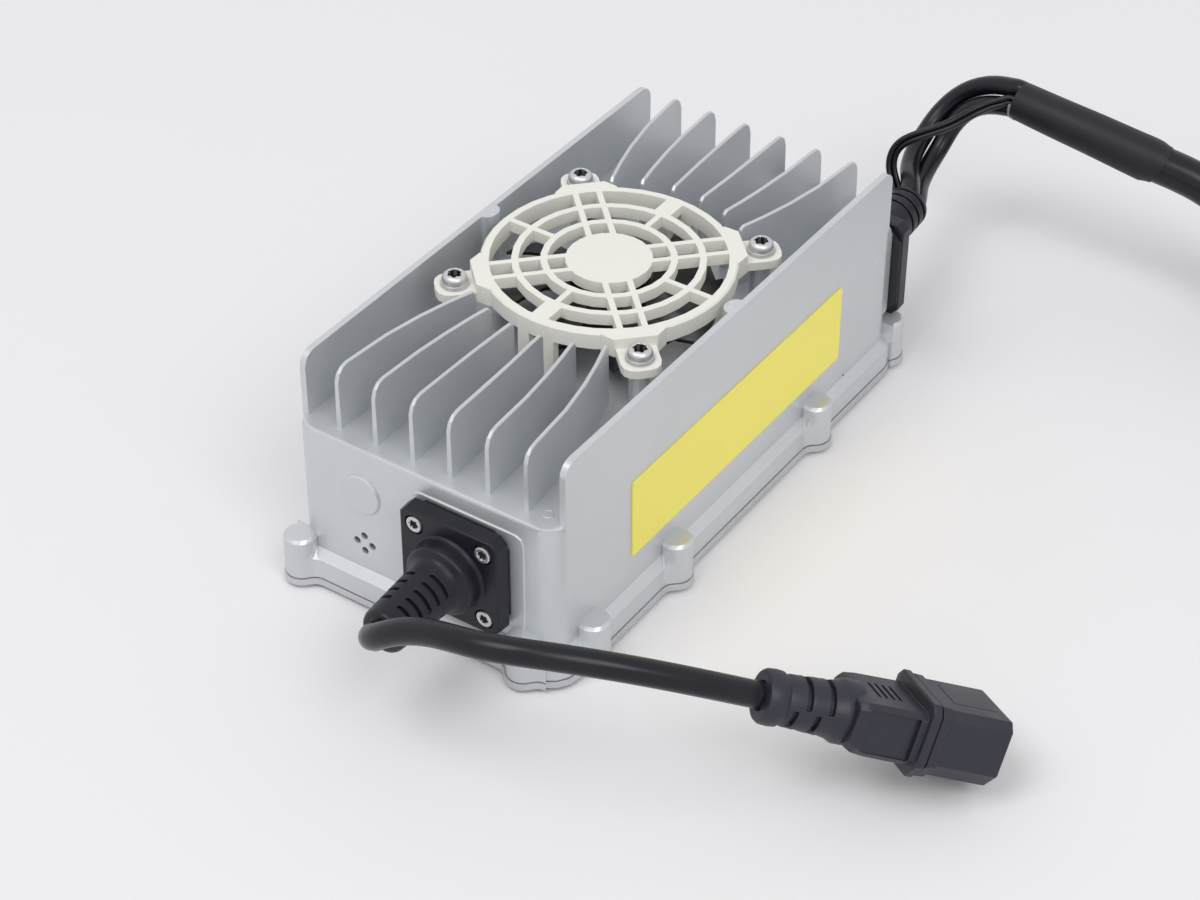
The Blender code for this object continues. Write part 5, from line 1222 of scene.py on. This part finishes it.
def screw_head(radius, height, recess, flange=0.0):
    """A screw head with a six-lobed recess; its seat is at height zero."""
    if flange:
        rings = [
            (radius, 0.0, 0.0), (radius, flange * 0.6, 0.0), (radius * 0.965, flange * 0.95, 0.0),
            (radius * 0.90, flange * 1.05, 0.0), (radius * 0.885, height * 0.50, 0.0),
            (radius * 0.855, height * 0.70, 0.0), (radius * 0.77, height * 0.88, 0.0),
            (radius * 0.64, height * 0.97, 0.0),
        ]
    else:
        rings = [
            (radius, 0.0, 0.0), (radius, height * 0.62, 0.0), (radius * 0.965, height * 0.86, 0.0),
            (radius * 0.88, height * 0.98, 0.0), (radius * 0.78, height, 0.0),
        ]
    rings += [
        (recess * 1.26, height * 0.995, 0.03), (recess * 1.08, height - 0.00010, 0.13),
        (recess, height - 0.00022, 0.17), (recess * 0.96, height * 0.34, 0.17),
        (recess * 0.50, height * 0.28, 0.06),
    ]
    bm = drawn([lobed_ring(reach, z, SCREW_STEPS, lobes) for reach, z, lobes in rings])
    for face in bm.faces:
        middle = face.calc_center_median()
        if middle.z < height - 0.00012 and middle.xy.length < recess * 1.02 and middle.z > height * 0.2:
            face.material_index = 1
    return bm


def fixing(name, node, seat, head, shank, turn=0.0):
    """A screw on its seat's matrix: a turned head and a round shank."""
    radius, length = shank
    stem = drawn([lobed_ring(radius, 0.0, SHANK_STEPS), lobed_ring(radius, -length, SHANK_STEPS)])
    bm = joined([(screw_head(*head), seat @ Matrix.Rotation(turn, 4, "Z")), (stem, seat)])
    finished(name, bm, "screw_steel", [node], second="recess_shadow")


class CHARGER_OT_fan(bpy.types.Operator):
    """The cream guard with its four screws, and the rotor below it."""

    bl_idname = "charger.fan"
    bl_label = "Fan"

    def execute(self, context):
        near, far = WEB_SPAN
        slivers = []
        for low_x, high_x in ((-WEB_OUTSIDE, -WEB_HALF), (WEB_HALF, WEB_OUTSIDE)):
            slivers += [rectangle(low_x, high_x, -far, -near), rectangle(low_x, high_x, near, far)]
        guard = softened(sunk(merged_copy("fan_guard"), slivers, *WEB_HEIGHTS), sizes().guard_edge)
        finished("guard_moulding", guard, "guard_plastic", ["fan_guard"], weighted=True)
        refined("fan_impeller", "fan_rotor", "fan_black", 0.00025, body="rotor")
        for i, (x, y) in enumerate(square_places(FAN_SCREW_SQUARE), 1):
            seat = Matrix.Translation((x, y, FAN_SEAT_Z + CLEAR))
            fixing(f"guard_screw_{i}", f"fan_screw_{i}", seat, FAN_HEAD, FAN_SHANK, 0.35 * i)
        return {"FINISHED"}


# Thin slivers of the guard's webs that are cut away, in Y, X and Z
WEB_SPAN = (0.03155, 0.0388)
WEB_HALF = 0.0031
WEB_OUTSIDE = 0.0052
WEB_HEIGHTS = (0.0700, 0.0900)
# Radius and depth of the sunk hole round a gland plate's screw
GLAND_HOLE = (0.0034, 0.0016)
# The bell of a boot, as radius and height above the gland's face
BOOT_PROFILE = (
    (0.0136, 0.0055), (0.0130, 0.0060), (0.0126, 0.0065), (0.0124, 0.0073), (0.0123, 0.0090),
    (0.0123, 0.0107), (0.0121, 0.0114), (0.0117, 0.0119), (0.0111, 0.0122), (0.0103, 0.0126),
    (0.0097, 0.0133), (0.0092, 0.0145), (0.0090, 0.0164),
)
BOOT_RADII = (0.0090, 0.0077)
RING_HEIGHTS = (0.0276, 0.0322, 0.0366)
SLOT_START = 0.0178
SLOT_STEP = 0.0020
SLOT_WIDTH = 0.0013
SLOT_ROWS = 9


class CHARGER_OT_glands(bpy.types.Operator):
    """Both gland plates with their moulded boots and screws."""

    bl_idname = "charger.glands"
    bl_label = "Glands"

    def execute(self, context):
        for kind, end, (x, z) in (("ac", -1, AC_GLAND), ("dc", 1, DC_GLAND)):
            turn = Matrix.Rotation(math.radians(90.0 if end < 0 else -90.0), 4, "X")
            place = Matrix.Translation((x, end * GLAND_FACE, z)) @ turn
            plate = joined([(gland_plate(), place), (boot_shape(end > 0), place)])
            finished(f"{kind}_gland_moulding", plate, "moulded_black", [f"{kind}_gland"], weighted=True)
            for i, (u, v) in enumerate(square_places(GLAND_SCREW_SQUARE), 1):
                seat = place @ Matrix.Translation((u, v, GLAND_THICK - GLAND_HEAD[1] + CLEAR))
                names = (f"{kind}_plate_screw_{i}", f"{kind}_gland_screw_{i}")
                fixing(*names, seat, GLAND_HEAD, GLAND_SHANK, 0.5 * i)
        return {"FINISHED"}


def gland_plate():
    """Square plate with cut corners, slightly drafted sides and sunk screw holes."""
    half, cut, draft = 0.0187, 0.0026, 0.0003
    rings = []
    for height, inset in ((0.0, 0.0), (GLAND_THICK, draft)):
        rings.append(raised(cut_outline(half - inset, half - inset, cut - inset * 0.6), height))
    bm = softened(drawn(rings), 0.0007, 3, 60.0)
    holes = []
    for x, y in square_places(GLAND_SCREW_SQUARE):
        holes.append([(x + point.x, y + point.y) for point in lobed_ring(GLAND_HOLE[0], 0.0, 40)])
    bm = sunk(bm, holes, GLAND_THICK - GLAND_HOLE[1], GLAND_THICK + 0.002)
    return softened(bm, 0.0003, 2, 50.0)


def boot_shape(ringed):
    """Flared bell and ribbed boot about +Z; the ribs lie between slots or between rings."""
    root, tip = BOOT_RADII
    start, end = BOOT_PROFILE[-1][1], BOOT_LENGTH + 0.0008
    profile = [(0.0, 0.0030), (0.0136, 0.0030)] + list(BOOT_PROFILE)

    def wall(height):
        return root + (tip - root) * max(0.0, min(1.0, (height - start) / (end - start)))

    heights = [] if ringed else [SLOT_START + SLOT_STEP * row for row in range(SLOT_ROWS)]
    for middle in heights:
        for height in (middle - SLOT_WIDTH / 2, middle + SLOT_WIDTH / 2):
            profile.append((wall(height), height))
    if ringed:
        for middle in RING_HEIGHTS:
            for share, deep in ((-0.5, 0.0), (-0.42, 0.8), (0.42, 0.8), (0.5, 0.0)):
                height = middle + SLOT_WIDTH * share
                profile.append((wall(height) - sizes().slot_depth * deep, height))
    mouth = (AC_LEAD_DIAMETER if not ringed else DC_LEAD_DIAMETER) / 2 + 0.0002
    profile += [
        (tip, end - 0.0016), (tip - 0.0004, end - 0.0007), (tip - 0.0011, end - 0.0001), (tip - 0.0018, end),
        (mouth, end), (mouth - 0.0001, end - 0.0008), (0.0, end - 0.0008),
    ]
    bm = spun(profile, 72)
    for row, middle in enumerate(heights):
        low, high = middle - SLOT_WIDTH * 0.45, middle + SLOT_WIDTH * 0.45
        slot_faces(bm, low, high, 45.0 + 90.0 * (row % 2), 30.0, sizes().slot_depth)
    return softened(bm, 0.00018, 1, 40.0)


LABEL_CORNER = 0.0007
LABEL_THICK = 0.00035


class CHARGER_OT_label(bpy.types.Operator):
    """The bare yellow label on the right-hand side."""

    bl_idname = "charger.label"
    bl_label = "Label"

    def execute(self, context):
        low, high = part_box("side_label")
        half_y, half_z = (high.y - low.y) / 2, (high.z - low.z) / 2
        outline = rounded_outline(half_y, half_z, LABEL_CORNER, 4)
        inner = rounded_outline(half_y - 0.0001, half_z - 0.0001, LABEL_CORNER - 0.0001, 4)
        rings = ((outline, -0.00028), (outline, LABEL_THICK * 0.7), (inner, LABEL_THICK))
        bm = drawn([raised(*ring) for ring in rings])
        middle = (low + high) / 2
        bm.transform(on_side(low.x, middle.y, middle.z))
        finished("label_film_piece", bm, "label_film", ["side_label"])
        return {"FINISHED"}


class CHARGER_OT_inside(bpy.types.Operator):
    """Finishes of the seals, the fan's core and the pieces inside the housing."""

    bl_idname = "charger.inside"
    bl_label = "Inside"

    def execute(self, context):
        for name, nodes in INNER_FINISHES.items():
            for node in nodes:
                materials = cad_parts[node].data.materials
                materials.clear()
                materials.append(surface(name))
        return {"FINISHED"}


class CHARGER_PT_panel(bpy.types.Panel):
    bl_idname = "CHARGER_PT_panel"
    bl_label = "Battery charger"
    bl_space_type = "VIEW_3D"
    bl_region_type = "UI"
    bl_category = "Charger"

    def draw(self, context):
        layout = self.layout
        for group in ("charger_colours", "charger_sizes", "charger_stage"):
            owner = getattr(context.scene, group)
            box = layout.box()
            for name in owner.__annotations__:
                box.prop(owner, name)
        for operator in OPERATORS:
            layout.operator(operator.bl_idname)


OPERATORS = (
    CHARGER_OT_stage, CHARGER_OT_mains_lead, CHARGER_OT_output_leads, CHARGER_OT_output_cable,
    CHARGER_OT_housing, CHARGER_OT_cover, CHARGER_OT_fan, CHARGER_OT_glands, CHARGER_OT_label,
    CHARGER_OT_inside,
)
GROUPS = (
    ("charger_colours", ChargerColours), ("charger_sizes", ChargerSizes), ("charger_stage", ChargerStage),
)


def register():
    for name, group in GROUPS:
        bpy.utils.register_class(group)
        setattr(bpy.types.Scene, name, bpy.props.PointerProperty(type=group))
    for operator in OPERATORS:
        bpy.utils.register_class(operator)
    bpy.utils.register_class(CHARGER_PT_panel)


def unregister():
    bpy.utils.unregister_class(CHARGER_PT_panel)
    for operator in reversed(OPERATORS):
        bpy.utils.unregister_class(operator)
    for name, group in reversed(GROUPS):
        delattr(bpy.types.Scene, name)
        bpy.utils.unregister_class(group)


def main():
    register()
    bpy.ops.charger.stage()
    bpy.ops.charger.mains_lead()
    bpy.ops.charger.output_leads()
    bpy.ops.charger.output_cable()
    bpy.ops.charger.housing()
    bpy.ops.charger.cover()
    bpy.ops.charger.fan()
    bpy.ops.charger.glands()
    bpy.ops.charger.label()
    bpy.ops.charger.inside()


if __name__ == "__main__":
    main()
